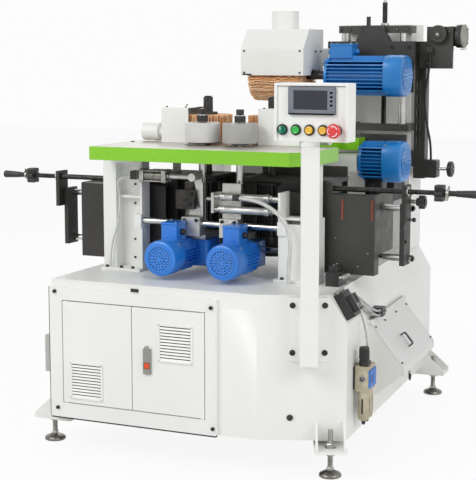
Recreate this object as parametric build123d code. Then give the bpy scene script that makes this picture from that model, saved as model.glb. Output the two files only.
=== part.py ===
from build123d import *
import math
import os

# Four-sided sander. Millimetres, Z up, origin on the floor in the middle of the machine.
# Work runs along +Y through the middle plane X 0. Left and right are seen from the infeed side.

# Sheet, fits and gaps used all over
sheet = 4.0
run_fit = 0.05
slip = 0.3
past = 1.0

# Levelling feet
foot_x = 450.0
foot_y = 510.0
pad_r = 32.0
pad_h = 20.0
pad_rim = 4.0
pad_sides = 18
stud_r = 8.0
stud_sides = 12
stud_top = 135.0
nut_r = 14.0
nut_h = 12.0
bracket_z = 75.0
bracket_t = 8.0
bracket_w = 90.0
gusset_t = 6.0
gusset_h = 67.0

# Base cabinet
base_z = 97.0
deck_z = 512.0
deck_t = 6.0
left_x = -415.0
front_y = -570.0
back_y = 605.0
bend_x = 250.0
corner_x = 482.0
corner_y = -470.0
back_right_x = 406.0
slope_h = 76.0
slope_in = 45.0
skirt_h = 75.0
skirt_in = 45.0
inlet_box = (70.0, 110.0)
inlet_box_at = (30.0, 133.0)

# Door surround, doors, vents and lock
surround_t = 15.0
surround_x1 = 130.0
surround_drop = 22.0
open_x0 = -373.0
open_x1 = 98.0
open_z0 = 141.0
open_z1 = 453.0
door_split = -138.0
door_gap = 3.0
door_t = 13.0
door_sheet = 2.0
pivot_in = 8.0
pivot_r = 3.0
pivot_depth = 10.0
pivot_pad = 14.0
vent_w = 109.0
vent_h = 110.0
vent_frame = 5.0
vent_proud = 5.0
slat_count = 11
slat_share = 0.8
left_vent = (-290.0, 214.0)
right_vent = (5.0, 353.0)
lock_x = -86.0
lock_z0 = 257.0
lock_h = 82.0
lock_w = 24.0
lock_t = 7.0
lock_pin_r = 1.5
lock_ear = 4.5
button_w = 16.0
button_rise = 25.0
button_clear = 1.5
button_depth = 14.0

# Switch panel behind the doors
pan_depth = 150.0
pan_x1 = 150.0
pan_t = 3.0
pan_margin = 20.0
rail_h = 35.0
rail_d = 8.0
rail_inset = 30.0
device_d = 75.0
device_gap = 20.0
device_rows = ((6, 45.0, 80.0), (2, 120.0, 110.0))
device_pitch = 150.0

# Chip hopper on the right wall with its hinged cover
hopper_y0 = -245.0
hopper_y1 = 170.0
hopper_top = 394.0
hopper_out = 105.0
hopper_fall = 132.0
hopper_lip = 22.0
hopper_foot = 140.0
cover_t = 4.0
lid_start = 8.0
barrel_r = 5.0
barrel_at = (4.0, 8.5)
hinge_pin_r = 2.5
hinge_pin_len = 14.0
ear_t = 8.0
handle_len = 46.0
handle_share = (0.66, 0.6)
handle_w = 9.0
handle_t = 4.0
handle_rise = 22.0

# Table
table_z = 900.0
table_t = 15.0
band_h = 40.0
band_t = 6.0
table_left = -345.0
table_front = -460.0
table_right = 355.0
table_corner = 55.0
notch_x = 200.0
notch_y0 = -208.0
notch_y1 = 232.0
table_rear_right = 238.0
table_back = 420.0
slot_gap = 6.0

# Uprights and rear column
upright_front = -340.0
upright_d = 50.0
upright_t = 8.0
upright_toe = 20.0
left_up_x0 = -367.0
left_up_x1 = -232.0
left_strip = 37.0
rib_share = 0.575
rib_set = 12.0
right_up_x0 = 218.0
right_up_x1 = 345.0
right_up_drop = 198.0
right_leg_x = (290.0, 338.0)
boss_half = (18.0, 20.0)
boss_in = 24.0
column_x0 = 130.0
column_x1 = 378.0
column_front = 425.0
column_back = 560.0
shelf_h = 20.0
rear_leg_x = -300.0
rear_leg_y = 365.0
rear_leg_w = 60.0

# Feed: arms, gear motors, rollers, cylinders. Heights under the table are shares of the space there
feed_x = 62.5
feed_y = -265.0
roller_r = 53.5
roller_gap = 9.0
roller_h = 59.0
roller_edge = 2.0
hub_r = 30.0
feed_shaft_r = 12.0
clamp_nut = (17.0, 24.0)
cap_nut = (12.0, 18.0)
worm_offset = 38.5
feed_axis_rise = 66.0
feed_motor_r = 52.5
feed_motor_len = 170.0
feed_cowl_len = 62.0
gear_y0 = -310.0
gear_y1 = -220.0
gear_half_h = 39.0
gear_half_x = 42.0
gear_out = 30.0
gear_round = 12.0
feed_bar_y = -330.0
feed_bar_share = 0.402
feed_bar_r = 10.0
arm_half_w = 30.0
arm_t = 12.0
arm_set = 4.0
arm_clear = 1.5
arm_top_share = 0.7216
arm_foot_t = 20.0
bush_half = 20.0
clamp_w = 60.0
clamp_t = 20.0
clamp_h = 57.0
clamp_up = 44.0
eye_x = -48.5
eye_r = 12.0
left_cyl_y = -358.0
left_cyl_share = 0.768
left_cyl_r = 18.5
left_cyl_x0 = -221.0
left_cyl_x1 = -132.0
left_rod_r = 8.0
cyl_cap = 14.0
right_cyl_y = -350.0
right_cyl_share = (0.6263, 0.5284)
right_cyl_r = 11.0
right_cyl_x0 = 40.0
right_cyl_x1 = 194.0
right_rod_r = 4.0
right_lug_x = 10.0
right_end_x = 226.0
lug_t = 8.0

# Side heads
head_x = 110.0
head_y = -125.0
rail_y = -200.0
rail_share = (0.183, 0.562)
rail_r = 10.0
slide_x0 = 175.0
slide_x1 = 335.0
slide_half = 16.0
slide_drop = 22.0
head_plate_up = 60.0
head_plate_t = 12.0
head_plate_in = 45.0
nut_len = 24.0
apron_x0 = 188.0
apron_x1 = 490.0
apron_y = -268.0
apron_t = 3.0
apron_gap = 23.0
apron_up = 38.0
apron_return = 40.0
apron_round = 2.0
stand_w = 30.0
stand_h = 32.0
side_motor_r = 57.0
side_motor_gap = 44.0
side_cowl_len = 58.0
side_brush_r = 78.0
side_brush_gap = 6.0
side_brush_h = 80.0
side_core_r = 36.0
spindle_r = 12.0
spindle_in = 24.0
lock_r = 15.0
lock_disc_h = 8.0
lock_nut_h = 51.0
hood_sheet = 2.5
side_hood_out = 231.0
side_hood_y0 = -210.0
side_hood_y1 = -42.0
side_hood_h = 109.0
left_hood_in = 138.0
right_hood_in = 97.0
hood_leg_w = 16.5
hood_leg_t = 24.0
spigot_y = -165.0
spigot_r = 28.0
spigot_len = 58.0
spigot_neck = 24.0
spigot_step = 10.0
spigot_wall = 2.0
spigot_up = 31.0
rod_y = -254.0
rod_drop = 6.0
rod_r = 8.0
rod_reach = 785.0
grip_len = 60.0
grip_r = 11.5
grip_edge = 3.0
star_in = 120.0
star_r = 26.0
star_t = 25.0
bracket_x = 570.0
bracket_out = 12.0
bracket_in = 14.0
bracket_y0 = -270.0
bracket_y1 = -180.0
bracket_up = 18.0
bracket_lap = 56.0
bracket_down = 18.0
post_half = 16.0
post_foot = 12.0
left_arm_travel = (-40.0, 6.0)
right_arm_travel = (-6.0, 18.0)
left_head_travel = (-60.0, 10.0)
right_head_travel = (-10.0, 60.0)

# Top head
axis_y = 214.0
top_axis_rise = 203.0
top_brush_r = 86.0
top_core_r = 45.0
brush_half_w = 90.0
hood_half_w = 110.0
hood_front = 124.0
hood_back = 304.0
hood_wall_h = 87.0
hood_bevel_h = 62.0
hood_bevel_d = 52.0
outlet_r = 45.0
outlet_wall = 2.0
outlet_len = 60.0
motor_face_x = 163.0
motor_end_x = 431.0
motor_cowl_len = 58.0
motor_r = 65.0
fin_h = 9.0
shaft_r = 14.0
shaft_in = 24.0
top_box = (80.0, 68.0, 38.0)
top_box_set = 13.0
motor_pad = (30.0, 36.0)
carriage_y = 300.0
carriage_t = 18.0
carriage_x0 = 128.0
carriage_x1 = 425.0
carriage_down = 55.0
carriage_up = 110.0
peak_x = (246.0, 313.0)
peak_foot = (225.0, 345.0)
peak_h = 51.0
peak_stud = (7.0, 29.0)
lift_y = 345.0
lift_x = (180.0, 374.0)
lift_r = 12.0
bush_r = 24.0
bush_cut = 10.0
screw_x = 310.0
screw_r = 9.0
screw_up = 96.0
screw_square = 9.0
screw_square_h = 20.0
screw_collar = (14.0, 8.0)
lift_nut_half = 18.0
lift_nut_h = 60.0
bar_t = 24.0
top_bar_gap = 27.0
low_bar_rise = 19.0
bar_x0 = 156.0
bar_x1 = 402.0
bar_half_y = 16.0
bar_lug = 20.0
column_up = 4.0

# Gantry post with arm, angle drive and knobs
post_x0 = 389.0
post_x1 = 428.0
post_y0 = 430.0
post_y1 = 470.0
post_down = 72.0
post_tie = 50.0
post_tie_in = 40.0
post_slots = 5
post_slot = (12.0, 30.0)
post_slot_pitch = 46.0
post_slot_start = 110.0
arm_x1 = 520.0
arm_h = 137.0
arm_over = 48.0
arm_plate_t = 12.0
arm_lap = 20.0
knob_x = 474.0
knob_drop = 25.0
knob_r = 30.0
knob_t = 26.0
knob_edge = 4.0
knob_stem_r = 8.0
knob_lobes = 8
knob_lobe_r = 6.0
drive_box_in = 22.0
drive_box_w = 54.0
drive_box_h = 80.0
drive_box_d = 62.0
drive_box_round = 12.0
drive_box_up = 5.0
drive_rise = 33.0
drive_half_h = 30.0
drive_x1 = 470.0
drive_round = 6.0
wheel_x = 505.0
wheel_r = 26.0
wheel_t = 16.0
wheel_edge = 4.0
wheel_stem_r = 6.0
wheel_stem_in = 18.0
clip_w = 20.0
clip_d = 18.0
clip_drop = 37.0

# Bottom head
low_axis_drop = 71.0
low_brush_r = 76.0
low_core_r = 40.0
low_motor_x0 = 284.0
low_box = (64.0, 60.0, 30.0)
low_box_set = 14.0
trough_half_w = 116.0
trough_half_y = 86.0
trough_wall = 3.0
trough_drop = 87.0
neck_half_y = 60.0
neck_drop = 31.0
slide_block_x = (262.0, 362.0)
slide_block_z = (-139.0, -14.0)
low_plate_x = (248.0, 404.0)
low_plate_y = 292.0
low_plate_t = 16.0
low_plate_z = (-61.0, 81.0)
head_travel = 10.0

# Control post and box
post_w = 50.0
post_t0 = 145.0
post_bottom = 320.0
post_gap = 15.0
plate_w = 108.0
plate_z0 = 326.0
plate_h = 180.0
plate_t = 8.0
box_x0 = 303.0
box_x1 = 514.0
box_front_y = -575.0
box_depth = 62.0
box_z0 = 941.0
box_h = 156.0
box_wall = 2.0
rim_w = 7.0
rim_depth = 6.0
panel_t = 3.0
screen_x = (344.0, 479.0)
screen_rise = 72.0
screen_h = 75.0
screen_t = 9.0
screen_round = 4.0
screen_lip = 6.0
screen_back = 20.0
glass_inset = (16.0, 22.0, 14.0, 10.0)
glass_depth = 1.5
control_x0 = 326.0
control_pitch = 39.0
control_rise = 31.0
bezel_r = 14.7
bezel_h = 4.0
cap_r = 10.5
cap_proud = 7.0
cap_depth = 24.0
cap_edge = 1.5
dial_h = 4.0
dial_bar = (4.0, 12.0)
stop_r = 20.0
stop_h = 14.0
stop_edge = 5.0
stop_reach = 30.0
swivel_r = 20.0
swivel_wall = 6.0
swivel_in = 8.0

# Air unit, valves, hose and tubes
air_y0 = -410.0
air_unit_w = 36.0
air_depth = 46.0
air_gap = 6.0
inlet_drop = 36.0
air_body_z0 = 225.0
air_body_h = 73.0
bowl_r = 17.0
bowl_h = 87.0
drain_r = 6.0
drain_h = 12.0
air_knob_r = 15.0
air_knob_h = 54.0
air_knob_edge = 2.0
bonnet_r = 8.0
bonnet_h = 16.0
port_r = 10.0
port_h = 14.0
inlet_r = 6.5
inlet_depth = 14.0
valve_y = (-462.0, -402.0)
valve_len = 78.0
valve_t = 30.0
valve_set = 8.0
coil_in = 6.0
coil_h = 18.0
deck_valve_y = (-362.0, -288.0)
deck_valve_in = (10.0, 50.0)
deck_valve_h = 42.0
port_y = -190.0
port_len = 40.0
port_out = 34.0
port_seat = 20.0
port_drop = (26.0, 0.0)
elbow_x = 104.0
elbow_w = 14.0
hose_r = 6.0
hose_side = 8.0
tube_r = 3.0
tube_sides = 8
tube_step = 6.5
tube_at = (62.0, 18.0)
tube_lead = 45.0
air_bow = 60.0
air_fall = 75.0
supply_lead = 58.0
cable_r = 4.0

# Heights worked out from the sizes above
skirt_z = base_z + skirt_h
slope_z = deck_z - deck_t - slope_h
surround_top = deck_z - surround_drop
lock_z1 = lock_z0 + lock_h
button_z = lock_z0 + button_rise
hopper_lip_z = hopper_top - hopper_fall
under = table_z - deck_z
shelf_top = table_z - band_h
plate_under = table_z - table_t
upright_back = upright_front + upright_d
right_up_top = table_z - right_up_drop
rib_z = deck_z + rib_share * under
feed_axis_z = deck_z + feed_axis_rise
feed_bar_z = deck_z + feed_bar_share * under
arm_top = deck_z + arm_top_share * under
left_cyl_z = deck_z + left_cyl_share * under
right_cyl_z = [deck_z + share * under for share in right_cyl_share]
rail_z = [deck_z + share * under for share in rail_share]
roller_z0 = table_z + roller_gap
roller_z1 = roller_z0 + roller_h
head_plate_z = rail_z[1] + head_plate_up
rod_z = head_plate_z - rod_drop
apron_z = (deck_z + apron_gap, rail_z[1] + apron_up)
side_motor_bottom = deck_z + side_motor_gap
side_brush_z0 = table_z + side_brush_gap
side_brush_z1 = side_brush_z0 + side_brush_h
lock_nut_z = side_brush_z1 + lock_disc_h
side_hood_top = table_z + side_hood_h
spigot_z = table_z + spigot_up
star_x = rod_reach - star_in
top_axis_z = table_z + top_axis_rise
hood_knee_z = top_axis_z + hood_wall_h
hood_bevel_y = hood_front + hood_bevel_d
hood_top_z = hood_knee_z + hood_bevel_h
outlet_top = hood_top_z + outlet_len
carriage_z0 = top_axis_z - carriage_down
carriage_z1 = top_axis_z + carriage_up
peak_z = carriage_z1 + peak_h
top_bar_z = carriage_z1 + top_bar_gap
low_bar_z = table_z + low_bar_rise
screw_top = top_bar_z + bar_t + screw_up
column_top = top_bar_z + bar_t + column_up
low_axis_z = table_z - low_axis_drop
trough_bottom = low_axis_z - trough_drop
neck_bottom = low_axis_z - neck_drop
post_z0 = low_axis_z - post_down
post_z1 = carriage_z1
arm_z1 = post_z1 + arm_over
arm_z0 = arm_z1 - arm_h
knob_z = arm_z1 - knob_drop
drive_z = post_z0 + drive_rise
clip_z = post_z1 - clip_drop
clip_x = post_x1 + clip_d
post_top = box_z0 - post_gap
box_z1 = box_z0 + box_h
panel_y = box_front_y + rim_depth
screen_z = (box_z0 + screen_rise, box_z0 + screen_rise + screen_h)
control_z = box_z0 + control_rise
air_body_z1 = air_body_z0 + air_body_h
bowl_z0 = air_body_z0 - bowl_h
inlet_z = air_body_z1 - inlet_drop
port_z = (slope_z - port_drop[0], slope_z - port_drop[1])

# Lines in plan: the chamfer and the slanted right wall of the base
chamfer_run = math.hypot(corner_x - bend_x, corner_y - front_y)
chamfer_dir = ((corner_x - bend_x) / chamfer_run, (corner_y - front_y) / chamfer_run)
chamfer_out = (chamfer_dir[1], -chamfer_dir[0])
side_run = math.hypot(back_right_x - corner_x, back_y - corner_y)
side_dir = ((back_right_x - corner_x) / side_run, (back_y - corner_y) / side_run)
side_out = (side_dir[1], -side_dir[0])

# Doors, hopper lid and hose lines used by several pieces
door_z = (open_z0 + door_gap, open_z1 - door_gap)
door_front = front_y - surround_t
pivot_y = door_front + door_t / 2
lock_pin_y = door_front - slip - lock_t / 2
lock_pin_z = lock_z1 - lock_t / 2
pan_back_y = front_y + pan_depth
hopper_len = hopper_y1 - hopper_y0
lid_slope = math.atan2(hopper_fall, hopper_out)
lid_run = math.hypot(hopper_out, hopper_fall)
hose_y = right_cyl_y - right_cyl_r - hose_r - hose_side
boss_span = ((feed_bar_y - boss_half[0], feed_bar_y + boss_half[0]),
             (feed_bar_z - boss_half[1], feed_bar_z + boss_half[1]))


def span_box(x, y, z):
    lo = [min(s) for s in (x, y, z)]
    hi = [max(s) for s in (x, y, z)]
    size = [b - a for a, b in zip(lo, hi)]
    mid = [(a + b) / 2 for a, b in zip(lo, hi)]
    return Pos(*mid) * Box(*size)


def around(mid, half):
    return (mid - half, mid + half)


def rod(a, b, r):
    start = Vector(*a)
    run = Vector(*b) - start
    face = Plane(origin=start, z_dir=run) * Circle(r)
    return extrude(face, amount=run.length)


def prism_z(points, z0, z1):
    return extrude(Pos(0, 0, z0) * Polygon(*points, align=None), amount=z1 - z0, dir=(0, 0, 1))


def prism_x(points, x0, x1):
    plane = Plane(origin=(min(x0, x1), 0, 0), x_dir=(0, 1, 0), z_dir=(1, 0, 0))
    return extrude(plane * Polygon(*points, align=None), amount=abs(x1 - x0), dir=(1, 0, 0))


def prism_y(points, y0, y1):
    plane = Plane(origin=(0, max(y0, y1), 0), x_dir=(1, 0, 0), z_dir=(0, -1, 0))
    return extrude(plane * Polygon(*points, align=None), amount=abs(y1 - y0), dir=(0, -1, 0))


def prism_up(r, sides, x, y, z0, z1):
    return extrude(Pos(x, y, z0) * RegularPolygon(r, sides), amount=z1 - z0)


def tube_face(origin, z_dir, x_dir, r):
    return Plane(origin=origin, x_dir=x_dir, z_dir=z_dir) * RegularPolygon(r, tube_sides)


def bent_tube(points, r):
    spots = [Vector(*p) for p in points]
    start = spots[0]
    runs = []
    for back, corner, ahead in zip(spots, spots[1:], spots[2:]):
        into, away = (corner - back), (ahead - corner)
        turn = math.radians(into.get_angle(away))
        cut = 0.45 * min(into.length, away.length)
        bend = cut / math.tan(turn / 2)
        along, off = into.normalized(), away.normalized()
        enter = corner - along * cut
        axis_dir = along.cross(off).normalized()
        middle = enter + axis_dir.cross(along) * bend
        if (enter - start).length > slip:
            runs.append(extrude(tube_face(start, along, axis_dir, r), amount=(enter - start).length))
        face = tube_face(enter, along, axis_dir, r)
        runs.append(revolve(face, axis=Axis(tuple(middle), tuple(axis_dir)), revolution_arc=math.degrees(turn)))
        start = corner + off * cut
    last = spots[-1] - start
    runs.append(extrude(tube_face(start, last, axis_dir, r), amount=last.length))
    tube = runs[0]
    for run in runs[1:]:
        tube += run
    return tube


def solids_of(*shapes):
    found = []
    for shape in shapes:
        found += shape.solids()
    return found


def save(name, *shapes):
    found = solids_of(*shapes)
    export_step(found[0] if len(found) == 1 else Compound(found), f"parts/{name}.step")


def crossing(one, two):
    (a, b, c), (d, e, f) = one, two
    det = a * e - b * d
    return ((c * e - b * f) / det, (a * f - c * d) / det)


def base_plan(wall, side_in):
    left = (1, 0, left_x + wall)
    front = (0, 1, front_y + wall)
    chamfer_c = chamfer_out[0] * corner_x + chamfer_out[1] * corner_y - wall
    side_c = side_out[0] * corner_x + side_out[1] * corner_y - wall - side_in
    chamfer_line = (chamfer_out[0], chamfer_out[1], chamfer_c)
    side = (side_out[0], side_out[1], side_c)
    back = (0, 1, back_y - wall)
    ring = [left, front, chamfer_line, side, back]
    return [crossing(a, b) for a, b in zip(ring, ring[1:] + ring[:1])]


def wall_point(y, out=0.0):
    t = (y - corner_y) / side_dir[1]
    return (corner_x + t * side_dir[0] + out * side_out[0], y + out * side_out[1])


def wall_panel(k):
    levels = [(base_z, skirt_in), (skirt_z, 0), (slope_z, 0), (deck_z - deck_t, slope_in)]
    layers = []
    for low, high in zip(levels, levels[1:]):
        faces = []
        for z, inset in (low, high):
            outer = base_plan(0, inset)
            inner = base_plan(sheet, inset)
            n = (k + 1) % len(outer)
            faces.append(Pos(0, 0, z) * Polygon(outer[k], outer[n], inner[n], inner[k], align=None))
        layers.append(loft(faces, ruled=True))
    return layers[0] + layers[1] + layers[2]


def foot_bracket(origin, out, plate_hole, lean):
    frame = Plane(origin=(origin[0], origin[1], 0), x_dir=(out[0], out[1], 0), z_dir=(0, 0, 1))
    reach_out = plate_hole + bracket_w / 2
    root = -lean - bracket_w / 2
    plate = span_box((root, reach_out), around(0, bracket_w / 2), (bracket_z, bracket_z + bracket_t))
    plate -= rod((plate_hole, 0, bracket_z - past), (plate_hole, 0, bracket_z + bracket_t + past), stud_r + slip)
    top = bracket_z + bracket_t
    web_top = top + gusset_h
    wall_in = lean * (skirt_z - web_top) / skirt_h
    web = [(-lean, top), (reach_out, top), (reach_out, top + bracket_t), (nut_r, web_top), (-wall_in, web_top),
           (-lean, base_z)]
    gussets = [prism_y(web, *around(side * (bracket_w / 2 - gusset_t), gusset_t / 2)) for side in (-1, 1)]
    return [frame * piece for piece in [plate] + gussets]


def foot_brackets():
    corner_gap = chamfer_out[0] * (foot_x - corner_x) + chamfer_out[1] * (-foot_y - corner_y)
    front_right = (foot_x - corner_gap * chamfer_out[0], -foot_y - corner_gap * chamfer_out[1])
    side_gap = side_out[0] * (foot_x - corner_x) + side_out[1] * (foot_y - corner_y)
    back_right = (foot_x - side_gap * side_out[0], foot_y - side_gap * side_out[1])
    left_gap = foot_x + left_x
    pieces = foot_bracket(front_right, chamfer_out, corner_gap, 0)
    pieces += foot_bracket(back_right, side_out, side_gap, skirt_in)
    for sign in (-1, 1):
        pieces += foot_bracket((left_x, sign * foot_y), (-1, 0), left_gap, 0)
    return pieces


def hopper_frame():
    x, y = wall_point(hopper_y1)
    return Plane(origin=(x, y, 0), x_dir=(side_out[0], side_out[1], 0), z_dir=(-side_dir[0], -side_dir[1], 0))


def skirt_line(z):
    return -skirt_in * (skirt_z - z) / skirt_h


def hopper_prism(points, w0, w1):
    frame = hopper_frame().offset(w0)
    return extrude(frame * Polygon(*points, align=None), amount=w1 - w0, dir=frame.z_dir)


def on_lid(a, b):
    return (a * math.cos(lid_slope) + b * math.sin(lid_slope),
            hopper_top - a * math.sin(lid_slope) + b * math.cos(lid_slope))


def hopper_rod(at, w0, w1, r):
    frame = hopper_frame()
    return rod(tuple(frame.from_local_coords(Vector(at[0], at[1], w0))),
               tuple(frame.from_local_coords(Vector(at[0], at[1], w1))), r)


def hopper_ears():
    u, z = on_lid(*barrel_at)
    ears = []
    for w, inward in ((-ear_t - slip, 1), (hopper_len + slip, -1)):
        ear = hopper_frame() * span_box((0, u + barrel_r), around(z, barrel_r), (w, w + ear_t))
        root = w + ear_t if inward > 0 else w
        ears.append(ear + hopper_rod((u, z), root - inward, root + inward * hinge_pin_len, hinge_pin_r))
    return ears


def hopper_bin():
    lip_low = hopper_lip_z - hopper_lip
    foot = (skirt_line(hopper_foot), hopper_foot)
    end = [(0, hopper_top), (hopper_out, hopper_lip_z), (hopper_out, lip_low), foot, (0, skirt_z)]
    slope = (lip_low - foot[1]) / (hopper_out - foot[0])
    rise = sheet * math.hypot(1, slope)
    inner_z = (foot[1] + rise - slope * (foot[0] - skirt_line(0))) / (1 - slope * skirt_in / skirt_h)
    floor = [(hopper_out, lip_low), foot, (skirt_line(inner_z), inner_z), (hopper_out, lip_low + rise)]
    lip = [(hopper_out - sheet, lip_low + rise), (hopper_out, lip_low + rise), (hopper_out, hopper_lip_z),
           (hopper_out - sheet, hopper_lip_z)]
    far = hopper_len - sheet
    return [hopper_prism(end, 0, sheet), hopper_prism(end, far, hopper_len), hopper_prism(floor, sheet, far),
            hopper_prism(lip, sheet, far)]


def front_strips(front):
    wide = (2 * left_x, 2 * corner_x)
    y = (front_y - past, front_y + 2 * sheet)
    hole_x = (open_x0 - door_t, open_x1 + door_t)
    hole_z = (open_z0 - door_t, open_z1 + door_t)
    return [front & span_box(wide, y, (0, hole_z[0])), front & span_box(wide, y, (hole_z[1], deck_z)),
            front & span_box((wide[0], hole_x[0]), y, hole_z), front & span_box((hole_x[1], wide[1]), y, hole_z)]


def side_strips(side):
    depth = (-corner_x, corner_x)
    far = side_run
    window_top = hopper_top - sheet / math.cos(lid_slope)
    cuts = [((base_z, skirt_z), (-far, far)), ((slope_z, deck_z), (-far, far)), ((skirt_z, slope_z), (-far, sheet)),
            ((skirt_z, slope_z), (hopper_len - sheet, far)), ((window_top, slope_z), (sheet, hopper_len - sheet))]
    return [side & (hopper_frame() * span_box(depth, z, w)) for z, w in cuts]


def base_walls():
    front, chamfer_wall, side, back, left = [wall_panel(k) for k in range(5)]
    box_y = front_y + inlet_box_at[0]
    box_z = base_z + inlet_box_at[1]
    inlet = span_box((left_x - surround_t, left_x), (box_y, box_y + inlet_box[0]), (box_z, box_z + inlet_box[1]))
    return [*front_strips(front), chamfer_wall, *side_strips(side), back, left, *hopper_bin(), inlet,
            *foot_brackets(), *hopper_ears()]


def deck_plate():
    plate = prism_z(base_plan(0, slope_in), deck_z - deck_t, deck_z)
    x, y, _ = hose_route()[-1]
    return plate - rod((x, y, deck_z - deck_t - past), (x, y, deck_z + past), hose_r + 2 * slip)


def levelling_feet():
    collar = stud_r + 6
    foot = prism_up(pad_r, pad_sides, 0, 0, 0, pad_rim)
    foot += loft([Pos(0, 0, pad_rim) * RegularPolygon(pad_r, pad_sides), Pos(0, 0, pad_h) * RegularPolygon(collar,
                 pad_sides)], ruled=True)
    foot += prism_up(stud_r, stud_sides, 0, 0, pad_h, stud_top)
    foot += prism_up(nut_r, 6, 0, 0, bracket_z - nut_h, bracket_z)
    foot += prism_up(nut_r, 6, 0, 0, bracket_z + bracket_t, bracket_z + bracket_t + nut_h)
    return [Pos(sx * foot_x, sy * foot_y, 0) * foot for sx in (-1, 1) for sy in (-1, 1)]


def door_x(side):
    if side < 0:
        return (open_x0 + door_gap, door_split - door_gap / 2)
    return (door_split + door_gap / 2, open_x1 - door_gap)


def pivot_x(side):
    x0, x1 = door_x(side)
    return x0 + pivot_in if side < 0 else x1 - pivot_in


def door_surround():
    y = (door_front, front_y)
    pieces = [span_box((left_x, surround_x1), y, (base_z, open_z0)),
              span_box((left_x, surround_x1), y, (open_z1, surround_top)),
              span_box((left_x, open_x0), y, (open_z0, open_z1)),
              span_box((open_x1, surround_x1), y, (open_z0, open_z1))]
    for side in (-1, 1):
        x = pivot_x(side)
        low = rod((x, pivot_y, open_z0), (x, pivot_y, door_z[0] + pivot_depth), pivot_r)
        low += rod((x, pivot_y, open_z0), (x, pivot_y, door_z[0] - slip), 2 * pivot_r)
        pieces += [low, rod((x, pivot_y, door_z[1] - pivot_depth), (x, pivot_y, open_z1), pivot_r)]
    return pieces


def vent(x, z):
    y = (door_front - vent_proud, door_front)
    inner_x = around(x, vent_w / 2 - vent_frame)
    plate = span_box(around(x, vent_w / 2), y, around(z, vent_h / 2))
    plate -= span_box(inner_x, y, around(z, vent_h / 2 - vent_frame))
    pitch = (vent_h - 2 * vent_frame) / slat_count
    for n in range(slat_count):
        low = z - vent_h / 2 + vent_frame + n * pitch
        slat = [(door_front, low), (door_front - vent_proud, low), (door_front, low + slat_share * pitch)]
        plate += prism_x(slat, *inner_x)
    return plate


def door(side, vent_at):
    x = door_x(side)
    y = (door_front, door_front + door_t)
    pan = span_box(x, y, door_z)
    inner_x = (x[0] + door_sheet, x[1] - door_sheet)
    inner_z = (door_z[0] + door_sheet, door_z[1] - door_sheet)
    pan -= span_box(inner_x, (door_front + door_sheet, y[1] + past), inner_z)
    px = pivot_x(side)
    for z, inward in ((door_z[0], 1), (door_z[1], -1)):
        pan += span_box(around(px, pivot_in), y, (z, z + inward * pivot_pad))
        pan -= rod((px, pivot_y, z - inward), (px, pivot_y, z + inward * (pivot_depth + slip)), pivot_r + run_fit)
    return pan + vent(*vent_at)


def lock_ears(grow):
    half = lock_w / 2
    ears = []
    for side in (-1, 1):
        edge = lock_x + side * half
        x = (edge - side * (lock_ear + grow), edge + side * grow)
        ears.append(span_box(x, (lock_pin_y - lock_pin_r - 1 - grow, door_front + door_sheet),
                             around(lock_pin_z, lock_pin_r + 1 + grow)))
    return ears


def lock_lever():
    half = lock_w / 2
    lever = span_box(around(lock_x, half), around(lock_pin_y, lock_t / 2), (lock_z0, lock_pin_z))
    lever += rod((lock_x - half, lock_pin_y, lock_pin_z), (lock_x + half, lock_pin_y, lock_pin_z), lock_t / 2)
    hole = button_w / 2 + button_clear
    lever -= span_box(around(lock_x, hole), (door_front - 2 * lock_t, door_front), around(button_z, hole))
    swing = lock_t / 2 + slip
    for side in (-1, 1):
        edge = lock_x + side * half
        x = (edge - side * (lock_ear + slip), edge + side * past)
        lever -= span_box(x, around(lock_pin_y, swing), (lock_pin_z - swing, lock_z1 + past))
    a, b = lock_x - half - past, lock_x + half + past
    return lever - rod((a, lock_pin_y, lock_pin_z), (b, lock_pin_y, lock_pin_z), lock_pin_r + run_fit)


def lock_button():
    half = button_w / 2
    y = (door_front - lock_t - past, door_front + button_depth)
    return span_box(around(lock_x, half), y, around(button_z, half))


def right_door():
    hole = button_w / 2 + run_fit
    half = lock_w / 2 - past
    panel = door(1, right_vent)
    panel += rod((lock_x - half, lock_pin_y, lock_pin_z), (lock_x + half, lock_pin_y, lock_pin_z), lock_pin_r)
    for ear in lock_ears(0):
        panel += ear
    y = (door_front - past, door_front + door_t)
    return panel - span_box(around(lock_x, hole), y, around(button_z, hole))


def switch_panel():
    z = (base_z + pan_margin, deck_z - deck_t - pan_margin / 2)
    wall_x = left_x + sheet
    pieces = [span_box((wall_x, pan_x1), (pan_back_y, pan_back_y + pan_t), z),
              span_box((pan_x1 - pan_t, pan_x1), (front_y + sheet, pan_back_y), z)]
    for row, (count, width, height) in enumerate(device_rows):
        mid = z[1] - device_pitch * (row + 0.53)
        face = pan_back_y - rail_d
        pieces.append(span_box((wall_x + rail_inset, pan_x1 - rail_inset), (face, pan_back_y), around(mid, rail_h / 2)))
        for n in range(count):
            x = wall_x + 2 * rail_inset + n * (width + device_gap)
            pieces.append(span_box((x, x + width), (face - device_d, face), around(mid, height / 2)))
    return pieces


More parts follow.
